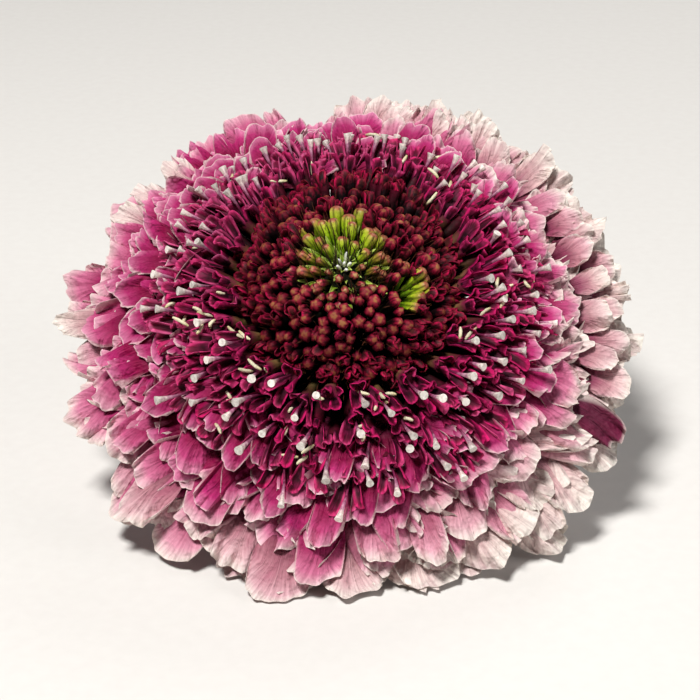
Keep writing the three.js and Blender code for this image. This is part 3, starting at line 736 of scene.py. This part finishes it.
# A lobe that stands inwards is short. One that leans outwards is long, the longer by `longer` for each
# millimetre of the floret's distance from the disc's inner rim, and wider.
DISC_LOBE = {"short": 2.0, "long": 3.5, "longer": 0.12, "width": 0.46, "wider": 0.18}
DISC_MOUTH_R = 0.62
DISC_TUBE_RADII = [0.34, 0.42, 0.66, 0.8]
STYLE_COUNT = 108
STYLE_LENGTHS = (3.1, 5.0)
STYLE_FRONT = 1.6  # how much longer they are at the front rim
STYLE_RADII = [0.12, 0.11, 0.11, 0.11, 0.12, 0.13, 0.15, 0.18, 0.23, 0.31, 0.43]
ANTHER_COUNT = 60
ANTHER_HEIGHTS = (1.4, 3.2)
ANTHER_LENGTHS = (1.3, 2.0)
ANTHER_RADII = [0.1, 0.17, 0.2, 0.17, 0.2, 0.17, 0.1]
FILAMENT_R = 0.05


def disc_mouths(rng):
    """Where the disc florets open, evenly spread by the golden angle between two radii, on a cone that falls
    outwards: each mouth with its radius and azimuth, its axis, and the direction outwards across the axis."""
    i = np.arange(DISC_COUNT)
    part = (i + 0.5) / DISC_COUNT
    azimuth = i * GOLDEN_ANGLE + rng.uniform(-0.03, 0.03, DISC_COUNT)
    inner_r = DISC_INNER_R + DISC_BACK * at_back(azimuth)
    outer_r = DISC_OUTER_R + DISC_FRONT * hill(azimuth, FRONT, math.radians(55))
    radius = np.sqrt(inner_r ** 2 + (outer_r ** 2 - inner_r ** 2) * part)
    height = DISC_TOP - DISC_FALL * (radius - DISC_INNER_R) + rng.uniform(-0.5, 0.5, DISC_COUNT)
    lean = np.radians(44 + 4.2 * (radius - DISC_INNER_R) + rng.uniform(-9, 9, DISC_COUNT))
    swing = azimuth + rng.uniform(-0.16, 0.16, DISC_COUNT)
    return {
        "radius": radius,
        "azimuth": azimuth,
        "mouth": outward(azimuth) * radius[:, None] + height[:, None] * UP,
        "axis": polar(1.0, lean, swing),
        "outer": polar(1.0, lean + math.pi / 2, swing),
    }


def disc_florets(petal, tube_finish, style_finish, anther_finish):
    """The open disc florets: tubes, five spoon-shaped lobes each, styles that stand far out, and anthers."""
    rng = np.random.default_rng(44)
    disc = disc_mouths(rng)
    disc_lobes(rng, disc, petal)
    disc_tubes(rng, disc, tube_finish)
    styles(rng, disc, style_finish)
    anthers(rng, disc, anther_finish)


def disc_lobes(rng, disc, petal):
    """The lobes of the disc florets, rooted round the mouth, longer and wider the more they lean outwards."""
    axis, outer = disc["axis"], disc["outer"]
    side = np.cross(axis, outer)
    out_by = disc["radius"] - DISC_INNER_R
    swing = rng.uniform(-0.3, 0.3, (DISC_COUNT, 1))
    turn = DISC_TURNS + swing + rng.uniform(-0.25, 0.25, (DISC_COUNT, 5))
    rim_at = across_axis(np.arange(5) * 2 * math.pi / 5 + swing, outer, side)
    outwards = 0.5 + 0.5 * np.cos(turn)
    short = DISC_LOBE["short"]
    longest = (DISC_LOBE["long"] + DISC_LOBE["longer"] * out_by)[:, None]
    length = (short + (longest - short) * outwards) * rng.uniform(0.82, 1.15, turn.shape)
    width = (DISC_LOBE["width"] + DISC_LOBE["wider"] * outwards) * rng.uniform(0.75, 1.25, turn.shape)
    first = np.radians(rng.uniform(66, 92, turn.shape))
    last = np.radians(rng.uniform(48, 95, turn.shape) - 22 * outwards)
    count = turn.size
    surfaces = blades(
        disc["mouth"][:, None] + DISC_MOUTH_R * rim_at, across_axis(turn, outer, side), np.repeat(axis, 5, 0),
        length, width, (first, last), SPOON, (7, 7), roll=rng.uniform(-0.6, 0.6, count),
        cup=rng.uniform(0.25, 0.75, count), frill=0.14, seed=45,
    )
    warm = 0.35 * hill(disc["azimuth"], math.radians(140), math.radians(60)) + 0.3 * out_by / 7.6
    tone = np.clip(warm[:, None] + rng.uniform(-0.15, 0.2, turn.shape), 0, 1)
    lobes = shell(surfaces, LOBE_THICKNESS, (tone, rng.uniform(0, 1, count)))
    made("disc_floret_lobes", [lobes], petal, "disc_florets")


def disc_tubes(rng, disc, finish):
    """The tubes of the disc florets, from the receptacle to the mouths, with painted shade that darkens them
    towards the disc's rim.
    """
    out_by = disc["radius"] - DISC_INNER_R
    root = polar(CORE_R - 0.8, np.radians(54 + 1.7 * out_by), disc["azimuth"])
    path = between(root, disc["mouth"] + 0.5 * disc["axis"], 7)
    profile = np.interp(np.linspace(0, 1, 7), [0, 0.45, 0.8, 1], DISC_TUBE_RADII)
    radius = profile * rng.uniform(0.9, 1.1, (DISC_COUNT, 1))
    # Painted shade: from 1.2 mm out from the disc's inner rim the tubes turn to their nearly black colours.
    dark = np.clip((out_by - 1.2) / 2.0, 0, 1)
    tubes = rods(path, radius, 10, (dark, rng.uniform(0, 1, DISC_COUNT)))
    made("disc_floret_tubes", [tubes], finish, "disc_florets")


def styles(rng, disc, finish):
    """The styles: thin necks that flare into a round flat stigma, longer at the front rim of the disc."""
    pick = rng.permutation(DISC_COUNT)[:STYLE_COUNT]
    axis = disc["axis"][pick]
    direction = unit(axis + rng.normal(0, 0.13, axis.shape))
    front = hill(disc["azimuth"][pick], FRONT, math.radians(60)) * (disc["radius"][pick] - DISC_INNER_R) / 8.6
    length = rng.uniform(*STYLE_LENGTHS, STYLE_COUNT) + STYLE_FRONT * front
    start = disc["mouth"][pick] + 0.3 * axis
    path = straight(start, direction, length, len(STYLE_RADII), bow=0.25, seed=46)
    radius = np.array(STYLE_RADII) * rng.uniform(0.85, 1.12, (STYLE_COUNT, 1))
    pins = rods(path, radius, 12, (0.5, rng.uniform(0, 1, STYLE_COUNT)))
    made("styles", [pins], finish, "disc_florets")


def anthers(rng, disc, finish):
    """The anthers: cream rods as long as a grain of rice is wide, on thin threads, mostly near the buds."""
    weight = np.exp(-disc["radius"] / 4) * (0.25 + hill(disc["azimuth"], math.radians(235), math.radians(60)))
    pick = rng.choice(DISC_COUNT, ANTHER_COUNT, p=weight / weight.sum())
    mouth, axis, outer = (disc[key][pick] for key in ("mouth", "axis", "outer"))
    away = unit(rng.normal(0, 1, mouth.shape))
    hold = mouth + rng.uniform(*ANTHER_HEIGHTS, (ANTHER_COUNT, 1)) * axis + 1.1 * away
    lying = unit(np.cross(rng.normal(0, 1, mouth.shape), outer))
    length = rng.uniform(*ANTHER_LENGTHS, (ANTHER_COUNT, 1))
    path = straight(hold - lying * length / 2, lying, length, len(ANTHER_RADII), bow=0.1, seed=47)
    chance = rng.uniform(0, 1, ANTHER_COUNT)
    threads = rods(between(mouth + 0.5 * away, hold, 5), FILAMENT_R, 5, (1.0, chance))
    bodies = rods(path, ANTHER_RADII, 8, (0.0, chance), ribs=2)
    made("anthers", [threads, bodies], finish, "disc_florets")


# ---- buds and crown

BUD_COUNT = 305
BUD_R = 0.62
BUD_SECTIONS = [0.34, 0.4, 0.5, 0.74, 1.0, 1.08, 1.0, 0.74, 0.3]
DOME_EDGE = math.radians(50)
DOME_BACK = 2.2  # how much longer the buds are at the back
OPENING_COUNT = 150
OPENING_LENGTHS = (1.0, 2.2)
OPENING_WIDTHS = (0.3, 0.55)
OPENING_TUBE_RADII = [0.3, 0.33, 0.4, 0.5, 0.55]
BRISTLE_COUNT = 900
BRISTLE_LENGTHS = (2.6, 4.4)
BRISTLE_RADII = [0.09, 0.07, 0.05, 0.02]

CROWN_SHIFT = np.array([-0.65, 1.1, -0.1])
CROWN_SPREAD = math.radians(22)
CROWN_SECTIONS = [0.44, 0.5, 0.58, 0.7, 0.84, 0.96, 1.02, 0.98, 0.78, 0.3]
# The rings of the crown from its heart outwards: how far they root and lean from its middle, in degrees.
CROWN_RINGS = [
    {"count": 9, "tilt": 5, "lean": 36, "length": 3.4, "first": 20, "width": 0.4},
    {"count": 11, "tilt": 9, "lean": 42, "length": 4.4, "first": 40, "width": 0.46},
    {"count": 13, "tilt": 13, "lean": 46, "length": 4.8, "first": 5, "width": 0.52},
    {"count": 15, "tilt": 18, "lean": 46, "length": 4.4, "first": 0, "width": 0.58},
]
CHAFF_WIDTH = 0.34
CHAFF_THICKNESS = 0.16
HEART_R = 0.2
HEART_SECTIONS = [0.6, 0.8, 1, 0.9, 0.4]

# A gap on the right of the dome, where young buds part and their green stalks show.
SIDE_GAP = {"tilt": math.radians(27), "azimuth": math.radians(-25), "spread": 0.1}
SIDE_SECTIONS = [0.5, 0.56, 0.64, 0.76, 0.88, 0.98, 1.0, 0.96, 0.78, 0.3]


def bud_rods(foot, axis, length, radius, rng, profile, tone=0.5):
    """Buds as rods with five grooves: the profile gives the radius along the bud as a share of its widest, at
    sections s from foot to tip that crowd towards the tip as t = 1 - (1 - s)^1.6."""
    sections = np.linspace(0, 1, len(profile))
    path = foot[:, None] + axis[:, None] * column(length) * (1 - (1 - sections) ** 1.6)[:, None]
    turn = np.arange(10) * 2 * math.pi / 10
    groove = 1 + 0.07 * np.cos(5 * turn) * np.linspace(0.2, 1, len(profile))[:, None]
    lumps = 1 + rng.normal(0, 0.07, (len(foot), 1, 10))
    sized = np.array(profile)[:, None] * groove * lumps * column(radius)
    return rods(path, sized, 10, (tone, rng.uniform(0, 1, len(foot))))


def ripe_buds(finish, bristle_finish, core_finish, opening_finish, tube_finish):
    """The dome: ripe buds, buds that open, the receptacle under them and the bristles between them."""
    rng = np.random.default_rng(55)
    bud_dome(rng, finish)
    opening_buds(rng, opening_finish, tube_finish)
    receptacle_core(core_finish)
    calyx_bristles(rng, bristle_finish)


def bud_dome(rng, finish):
    """The ripe buds, spread by the golden angle from 12 degrees off the axis to the dome's edge, but not
    under the crown or in the side gap. They reach further and are longer at the back, and painted shade
    darkens them outwards."""
    top, bottom = math.cos(math.radians(12)), math.cos(math.radians(60))
    i = np.arange(BUD_COUNT)
    tilt = np.arccos(top + (bottom - top) * (i + 0.5) / BUD_COUNT) + rng.uniform(-0.012, 0.012, BUD_COUNT)
    azimuth = i * GOLDEN_ANGLE + rng.uniform(-0.04, 0.04, BUD_COUNT)
    direction = polar(1.0, tilt, azimuth)
    under_crown = direction @ unit(CROWN_SHIFT + CORE_R * UP) > math.cos(CROWN_SPREAD)
    inside = tilt < DOME_EDGE + math.radians(10) * at_back(azimuth)
    keep = ~under_crown & ~in_side_gap(direction) & inside
    tilt, azimuth, direction = tilt[keep], azimuth[keep], direction[keep]
    count = len(tilt)
    axis = unit(direction + rng.normal(0, 0.09, (count, 3)))
    foot = polar(CORE_R - 0.4, tilt, azimuth)
    longer = DOME_BACK * at_back(azimuth) * np.interp(np.degrees(tilt), [38, 58], [0, 1])
    length = DOME_R - CORE_R + 0.4 + rng.uniform(-0.9, 0.4, count) + longer
    radius = BUD_R * rng.uniform(0.76, 1.2, count)
    # Painted shade: the outer buds turn towards the darker copy of the bud's colours.
    outer_shade = np.clip((np.degrees(tilt) - 26) / 22 + rng.uniform(-0.45, 0.45, count), 0, 1)
    buds = bud_rods(foot, axis, length, radius, rng, BUD_SECTIONS, outer_shade)
    made("ripe_buds_dome", [buds], finish, "ripe_buds")


def opening_buds(rng, finish, tube_finish):
    """Buds that begin to open, one in four on the dome and the others round it: five short crumpled lobes."""
    azimuth = np.arange(OPENING_COUNT) * GOLDEN_ANGLE + rng.uniform(-0.05, 0.05, OPENING_COUNT)
    ring = np.arange(OPENING_COUNT) % 4 > 0
    tilt = np.radians(np.where(ring, rng.uniform(43, 58, OPENING_COUNT), rng.uniform(24, 44, OPENING_COUNT)))
    back = ring * at_back(azimuth)
    tilt += math.radians(7) * back
    axis = unit(polar(1.0, tilt, azimuth) + rng.normal(0, 0.14, (OPENING_COUNT, 3)))
    mouth = polar(DOME_R - rng.uniform(0.8, 2.2, OPENING_COUNT) + DOME_BACK * back, tilt, azimuth)
    side = unit(np.cross(axis, UP))
    turn = np.arange(5) * 2 * math.pi / 5 + rng.uniform(0, 1.2, (OPENING_COUNT, 1))
    heading = across_axis(turn, np.cross(side, axis), side)
    count = turn.size
    length = rng.uniform(*OPENING_LENGTHS, count)
    width = rng.uniform(*OPENING_WIDTHS, count)
    pitch = np.radians(rng.uniform(50, 85, count)), np.radians(rng.uniform(70, 170, count))
    surfaces = blades(
        mouth[:, None] + 0.4 * heading, heading, np.repeat(axis, 5, 0), length, width, pitch, SPOON, (6, 5),
        cup=0.2, roll=rng.uniform(-0.9, 0.9, count), seed=57,
    )
    lobes = shell(surfaces, LOBE_THICKNESS, (rng.uniform(0.1, 1, count), rng.uniform(0.1, 1, count)))
    made("opening_buds", [lobes], finish, "ripe_buds")
    tubes = between(polar(CORE_R - 0.4, tilt, azimuth), mouth + 0.3 * axis, len(OPENING_TUBE_RADII))
    # Tone 1 gives these tubes the nearly black colours: painted shade among the buds.
    made("opening_bud_tubes", [rods(tubes, OPENING_TUBE_RADII, 8, (1.0, 0.5))], tube_finish, "ripe_buds")


def receptacle_core(finish):
    """The dark receptacle under the buds: a ball of the core's radius, drawn in below its middle."""
    height = np.linspace(-3.5, CORE_R - 0.02, 24)
    ball = np.sqrt(np.maximum(CORE_R ** 2 - height ** 2, 0.01))
    core = rods(up_axis(height), ball * np.interp(height, [-3.5, 0], [0.85, 1]), 48)
    made("receptacle_core", [core], finish, "ripe_buds")


def calyx_bristles(rng, finish):
    """The dark bristles of the buds' calyces, scattered evenly over the dome."""
    tilt = np.arccos(rng.uniform(math.cos(math.radians(60)), math.cos(math.radians(6)), BRISTLE_COUNT))
    start = polar(CORE_R - 0.3, tilt, rng.uniform(0, 2 * math.pi, BRISTLE_COUNT))
    direction = unit(start + rng.normal(0, 2.2, start.shape))
    length = rng.uniform(*BRISTLE_LENGTHS, BRISTLE_COUNT)
    path = straight(start, direction, length, len(BRISTLE_RADII), bow=0.2, seed=56)
    bristles = rods(path, BRISTLE_RADII, 4, (0.5, rng.uniform(0, 1, BRISTLE_COUNT)))
    made("calyx_bristles", [bristles], finish, "ripe_buds")


def side_gap_middle():
    """The direction from the dome's centre to the side gap."""
    return polar(1.0, SIDE_GAP["tilt"], SIDE_GAP["azimuth"])


def in_side_gap(direction):
    """Whether a direction from the dome's centre lies in the gap where green bud stalks show."""
    middle = unit(side_gap_middle() + 0.14 * outward(math.radians(15)))
    return direction @ middle > math.cos(1.9 * SIDE_GAP["spread"])


def side_gap_buds(rng):
    """Young buds that lean away from the gap in the dome, so that their green stalks show."""
    middle = side_gap_middle()
    away = outward(np.radians([-40, -8, 22, 52, 88, 5, 38]))
    near = np.array([0.5, 0.5, 0.5, 0.5, 0.5, 1.3, 1.3])[:, None]
    foot = (CORE_R - 0.6) * unit(middle + near * SIDE_GAP["spread"] * away)
    length = rng.uniform(3.6, 4.7, len(away))
    radius = rng.uniform(0.54, 0.68, len(away))
    return bud_rods(foot, unit(middle + 0.85 * away), length, radius, rng, SIDE_SECTIONS, 0.4)


def crown_buds(finish, chaff_finish, heart_finish):
    """The crown of young buds that lean away from a small pale heart, with pointed chaff between them."""
    rng = np.random.default_rng(66)
    parts, chaff = [], []
    for ring in CROWN_RINGS:
        count = ring["count"]
        step = 2 * math.pi / count
        azimuth = math.radians(ring["first"]) + (np.arange(count) + rng.uniform(-0.12, 0.12, count)) * step
        parts.append(crown_ring(ring, azimuth, rng))
        tilt, lean, length = ring["tilt"] + 2, ring["lean"] + 6, 0.55 * ring["length"]
        chaff.append(crown_leaves(azimuth + step / 2, tilt, lean, length, rng))
    parts.append(side_gap_buds(rng))
    chaff.append(crown_leaves(np.arange(11) * 2 * math.pi / 11, 3, 66, 1.7, rng))
    chaff.append(crown_leaves(np.arange(7) * 2 * math.pi / 7, 1, 40, 1.7, rng))
    made("crown_buds_green", parts, finish, "crown_buds")
    made("crown_chaff", chaff, chaff_finish, "crown_buds")
    pale_heart(rng, heart_finish)


def crown_ring(ring, azimuth, rng):
    """One ring of crown buds, longer, wider and greener towards the back."""
    count = ring["count"]
    foot = polar(CORE_R - 0.9, math.radians(ring["tilt"]), azimuth) + CROWN_SHIFT
    lean = np.radians(ring["lean"] + rng.uniform(-6, 6, count))
    axis = polar(1.0, lean, azimuth + rng.uniform(-0.12, 0.12, count))
    back = hill(azimuth, BACK, math.radians(80))
    length = ring["length"] * (0.7 + 0.22 * back) * rng.uniform(0.82, 1.12, count)
    radius = ring["width"] * (1 + 0.3 * back) * rng.uniform(0.82, 1.12, count)
    tone = np.clip(1 - back + 0.25 * (ring["tilt"] > 15) + rng.uniform(-0.15, 0.15, count), 0, 1)
    return bud_rods(foot, axis, length, radius, rng, CROWN_SECTIONS, tone)


def crown_leaves(azimuth, tilt, lean, length, rng):
    """Pointed green chaff, one blade at each azimuth, rooted at a tilt in degrees and leaning out."""
    count = len(azimuth)
    foot = polar(CORE_R - 0.6, math.radians(tilt), azimuth) + CROWN_SHIFT
    lean = np.radians(lean + rng.uniform(-6, 6, count))
    surfaces = blades(
        foot, polar(1.0, lean, azimuth), polar(1.0, lean - math.pi / 2, azimuth),
        length * rng.uniform(0.8, 1.2, count), CHAFF_WIDTH, np.radians([5, -12]), LANCE, (8, 5), cup=0.2,
        seed=67,
    )
    return shell(surfaces, CHAFF_THICKNESS, (0.5, rng.uniform(0, 1, count)))


def pale_heart(rng, finish):
    """The heart of the crown: a short pale rod that stands up among five that lean."""
    azimuth = np.arange(6) * 2 * math.pi / 5
    lean = np.radians([22, 26, 20, 24, 28, 2])
    foot = polar(CORE_R - 0.6, 0.05 * lean, azimuth) + CROWN_SHIFT
    length = rng.uniform(1.3, 1.9, 6)
    heart = bud_rods(foot, polar(1.0, lean, azimuth), length, HEART_R, rng, HEART_SECTIONS)
    made("pale_heart", [heart], finish, "crown_buds")


# ---- bracts and stem

BRACTS = {
    "count": 12, "root": 124, "length": 11.5, "width": 2.8, "thickness": 0.4, "pitch": (-7, -15),
    "lowest": 0.3,
}
STEM_R = 1.1
STEM_STRAIGHT = 58
STEM_SWAY = 2.2
HAIR_COUNT = 700
HAIR_LENGTHS = (0.5, 0.9)
HAIR_RADII = [0.04, 0.03, 0.012]
# The receptacle that the stem swells into: heights on the head's axis, and the radius at each.
CUP_HEIGHTS = np.array([-9, -8.6, -7.2, -6.0, -5.0, -4.0, -3.0, -1.5, 0, 1.5, 3.0, 4.0, 4.55])
CUP_RADII = [1.0, 1.12, 1.25, 1.7, 2.3, 2.9, 3.6, 4.3, 4.6, 4.3, 3.45, 2.2, 0.6]


def bracts(finish):
    """The ring of narrow pointed green bracts under the head."""
    rng = np.random.default_rng(77)
    count = BRACTS["count"]
    azimuth = (np.arange(count) + rng.uniform(-0.12, 0.12, count)) * 2 * math.pi / count
    foot = polar(RECEPTACLE_R + 0.6, math.radians(BRACTS["root"]), azimuth)
    length = BRACTS["length"] * np.where(np.arange(count) % 2, 0.86, 1)
    points, rim, fan = blades(
        foot, outward(azimuth), UP, length, BRACTS["width"] / 2, np.radians(BRACTS["pitch"]), LANCE, (16, 9),
        cup=0.6, roll=rng.uniform(-0.2, 0.2, count), frill=0.1, seed=78,
    )
    surfaces = laid(points, BRACTS["lowest"]), rim, fan
    leaves = shell(surfaces, BRACTS["thickness"], (0.5, rng.uniform(0, 1, count)))
    made("bract_blades", [leaves], finish, "bracts")


def stem_path(steps):
    """The stem's centreline in the part's frame: out of the head, round the neck's bend, along the floor."""
    sin, cos = math.sin(HEAD_TILT), math.cos(HEAD_TILT)
    down = np.array([0, sin, -cos])
    top = HEAD_AT + down * (RECEPTACLE_R + 1.4)
    bend = (top[2] - STEM_R) / (1 - sin)
    angle = np.linspace(math.pi / 2 - HEAD_TILT, 0, steps // 2, endpoint=False)
    neck = np.stack([
        np.full(len(angle), HEAD_AT[0]),
        top[1] + bend * (cos - np.sin(angle)),
        STEM_R + bend * (1 - np.cos(angle)),
    ], -1)
    t = np.linspace(0, 1, steps - len(angle))
    lying = np.stack([
        HEAD_AT[0] + STEM_SWAY * np.sin(math.pi * t ** 2),
        top[1] + bend * cos + STEM_STRAIGHT * t,
        np.full(len(t), STEM_R),
    ], -1)
    first = HEAD_AT + down * (RECEPTACLE_R - 1.6)
    return np.concatenate([first[None], neck, lying])


def stem(finish, hair_finish):
    """The stem with eight ribs, the receptacle that it swells into, and its hairs."""
    path = stem_path(90)
    turn = np.arange(24) * 2 * math.pi / 24
    radius = STEM_R * (0.96 + 0.035 * np.cos(8 * turn)) * np.ones((1, len(path), 1))
    stalk = rods(path[None], radius, 24, ribs=8, sideways=np.array([[[1.0, 0, 0]]]))
    made("stem_stalk", [stalk], finish, "stem", place=in_metres)
    cup = rods(up_axis(CUP_HEIGHTS), CUP_RADII, 24, ribs=12)
    made("receptacle_cup", [cup], finish, "stem")
    stem_hairs(path, hair_finish)


def stem_hairs(path, finish):
    """Short stiff hairs that stand out along the stem. Where it lies on the floor none points down."""
    rng = np.random.default_rng(88)
    place = rng.uniform(0.06, 0.98, HAIR_COUNT) * (len(path) - 1)
    whole = place.astype(int)
    step = path[whole + 1] - path[whole]
    centre = path[whole] + (place - whole)[:, None] * step
    along = unit(step)
    away = unit(np.cross(along, rng.normal(0, 1, (HAIR_COUNT, 3))))
    away[:, 2] = np.where(centre[:, 2] < 2 * STEM_R, np.abs(away[:, 2]), away[:, 2])
    start = centre + away * STEM_R * 0.9
    length = rng.uniform(*HAIR_LENGTHS, HAIR_COUNT)
    hairs = straight(start, unit(away + 0.3 * along), length, len(HAIR_RADII))
    made("stem_hairs", [rods(hairs, HAIR_RADII, 3)], finish, "stem", place=in_metres)


# ---- floor, light and camera, in metres

FLOOR_HALF = 1.5
HEAD_MIDDLE = np.array([[0.0, -1.6, -1.6]])  # what the lights and the camera face, in the head's frame
CAMERA = {"elevation": math.radians(26), "distance": 0.211, "lens": 100, "sensor": 36}
WORLD_LIGHT = 0.008
# Square soft lights: where each stands from the head, how wide it is, its power and its colour.
LIGHTS = {
    "key": ((-0.16, -0.26, 0.58), 0.14, 5.6, (1.0, 0.985, 0.965)),
    "fill": ((0.55, -0.2, 0.3), 0.3, 1.05, (1.0, 0.985, 0.98)),
    "back": ((0.28, 0.5, 0.42), 0.3, 1.2, (1.0, 1.0, 1.0)),
}


def put(name, data, aim, offset):
    """A light or a camera that stands at an offset from a point and faces it."""
    item = bpy.data.objects.new(name, data)
    item.location = Vector(aim) + Vector(offset)
    item.rotation_euler = Vector(offset).to_track_quat("Z", "Y").to_euler()
    bpy.context.scene.collection.objects.link(item)
    return item


def studio(finish):
    """A plain pale floor, a soft key light from the upper left, two weaker lights, and a camera in front."""
    mesh = bpy.data.meshes.new("floor")
    corners = [(-1, -1), (1, -1), (1, 1), (-1, 1)]
    mesh.from_pydata([(x * FLOOR_HALF, y * FLOOR_HALF, 0) for x, y in corners], [], [(0, 1, 2, 3)])
    mesh.materials.append(finish)
    floor = bpy.data.objects.new("floor", mesh)
    bpy.context.scene.collection.objects.link(floor)
    aim = placed(HEAD_MIDDLE)[0]
    for name, (offset, size, power, colour) in LIGHTS.items():
        light = bpy.data.lights.new(name, "AREA")
        light.size = size
        light.energy = power
        light.color = colour
        put(name, light, aim, offset)
    world = bpy.data.worlds.new("studio")
    world.use_nodes = True
    world.node_tree.nodes["Background"].inputs["Color"].default_value = (1, 1, 1, 1)
    world.node_tree.nodes["Background"].inputs["Strength"].default_value = WORLD_LIGHT
    scene = bpy.context.scene
    scene.world = world
    scene.view_settings.view_transform = "Standard"
    camera = bpy.data.cameras.new("camera")
    camera.lens = CAMERA["lens"]
    camera.sensor_width = CAMERA["sensor"]
    camera.clip_start = 0.01
    towards = np.array([0, -math.cos(CAMERA["elevation"]), math.sin(CAMERA["elevation"])])
    scene.camera = put("camera", camera, aim, towards * CAMERA["distance"])


# ---- the finishes, and the whole flower

# A floret's tube is thin pale tissue, green at the foot and red at the mouth, and it glows a little. Where
# other florets shade it, it is nearly black.
TUBE = along_rod(
    "pale_floret_tube", {0: "#7c8648", 0.4: "#8c844c", 0.75: "#84643c", 1: "#7c1c40"}, 0.6, 0.5, 0.08,
    other={0: "#2c1a10", 0.4: "#1c0408", 0.75: "#300410", 1: "#560420"}, glow=0.1, specular=0.2,
)
# A style is a wine red neck under a waxy stigma, which reads as a clean white dot.
STYLE = along_rod(
    "waxy_style", {0: "#3c0620", 0.5: "#8c2454", 0.74: "#d08cac", 0.9: "#fae8e0", 1: "#fffaf2"}, 0.5, 0.4,
    0.02, glow=0.25,
)
# An anther is dusted with cream pollen, which is matt and grainy. The thread that holds it is wine red.
ANTHER = along_rod(
    "pollen_dusted_anther", {0: "#c9bb86", 0.5: "#efe8c8", 1: "#e4dcb4"}, 0.7, 0.15, 0.05,
    other={0: "#2c0414", 0.8: "#6c1c3c", 1: "#a07860"},
)
# A closed bud has a firm wine red skin with a dull brownish tip. Low down in the dome it is painted nearly
# black as shade, and its other stops are a darker copy that paints shade on the outer buds.
BUD = along_rod(
    "wine_red_bud_skin",
    {0: "#2c380c", 0.35: "#100802", 0.62: "#22030a", 0.8: "#86082c", 0.94: "#96303a", 1: "#96603c"}, 0.6,
    0.35, 0.08,
    other={0: "#141a04", 0.35: "#060102", 0.64: "#140106", 0.82: "#5c031c", 0.94: "#701022", 1: "#743826"},
    groove=0.15, specular=0.12,
)
# A young bud's skin is moist and bright yellow green, and it reddens from the tip as it ripens.
CROWN = along_rod(
    "young_green_bud_skin",
    {0: "#33500a", 0.3: "#8cbc12", 0.56: "#d0f82a", 0.76: "#d4e04c", 0.88: "#b87c4c", 1: "#a04c48"}, 0.45,
    0.4, 0.05,
    other={0: "#4a660c", 0.3: "#4c5818", 0.52: "#702424", 0.78: "#a41c44", 0.92: "#b44c48", 1: "#bc9460"},
    groove=0.3, glow=0.1, specular=0.3,
)
# Chaff is a thin green scale, lit through to a pale tip.
CHAFF = along_rod("green_chaff", {0: "#5e7d14", 0.6: "#9fc22e", 1: "#cfe070"}, 0.5, 0.4, 0.04, glow=0.2)
# The heart's tissue has hardly any green yet, and it reads as a white spot.
HEART = along_rod("pale_heart_tissue", {0: "#c9d68a", 0.5: "#f2f5dc", 1: "#ffffff"}, 0.5, 0.3, 0.03)
# A bristle is dry and dark, with a brown tip.
BRISTLE = along_rod("dark_calyx_bristle", {0: "#33330f", 0.5: "#2a1010", 1: "#6a3a24"}, 0.5, 0.4, 0.02)
# The receptacle is matt and nearly black where the buds shade it.
CORE = along_rod(
    "shaded_receptacle", {0: "#4d5a2a", 0.3: "#1c120a", 0.5: "#0c0405", 1: "#10130a"}, 0.9, 1.0, 0.2,
    specular=0.05,
)
# The skin of stem and bracts is a dull grey green, as fine down covers it.
LEAF = along_rod("hairy_green_skin", {0: "#76883f", 0.5: "#7f9446", 1: "#8ca04e"}, 0.6, 0.6, 0.08)
# The stem's hairs are stiff and nearly white, and they catch the light.
HAIR = along_rod("white_hair", {0: "#b9c49a", 1: "#eef0e4"}, 0.5, 0.5, 0.01)
PETAL = ray_petal()
# A disc floret's lobe is velvet, magenta at the tip. Its black-red foot is painted shade, and its bright rim
# a painted sheen.
LOBE = disc_petal(
    "velvety_floret_lobe", {0: "#040001", 0.34: "#0e0105", 0.66: "#540224", 0.86: "#8a083e", 1: "#b01852"},
    {0: "#080102", 0.34: "#20010d", 0.64: "#780434", 0.86: "#ac144e", 1: "#d03c72"},
    shade="#100006", rim_sheen="#d81a6c", bright="#fa8cc0", bloom="#a0205c",
)
# A lobe that has just opened is crumpled crimson velvet, with a brown bloom. Its dark foot is painted
# shade, and its bright rim a painted sheen.
CRIMSON = disc_petal(
    "crumpled_opening_lobe", {0: "#060102", 0.5: "#1c0208", 0.8: "#4a0416", 1: "#861030"},
    {0: "#060102", 0.5: "#2c030c", 0.8: "#760a2a", 1: "#b42050"},
    shade="#120104", rim_sheen="#78042a", bright="#e01058", bloom="#7a3424",
)

for whorl in WHORLS:
    ray_whorl(whorl, PETAL, TUBE)
stray_petals(PETAL)
disc_florets(LOBE, TUBE, STYLE, ANTHER)
ripe_buds(BUD, BRISTLE, CORE, CRIMSON, TUBE)
crown_buds(CROWN, CHAFF, HEART)
bracts(LEAF)
stem(LEAF, HAIR)
studio(plain_floor())
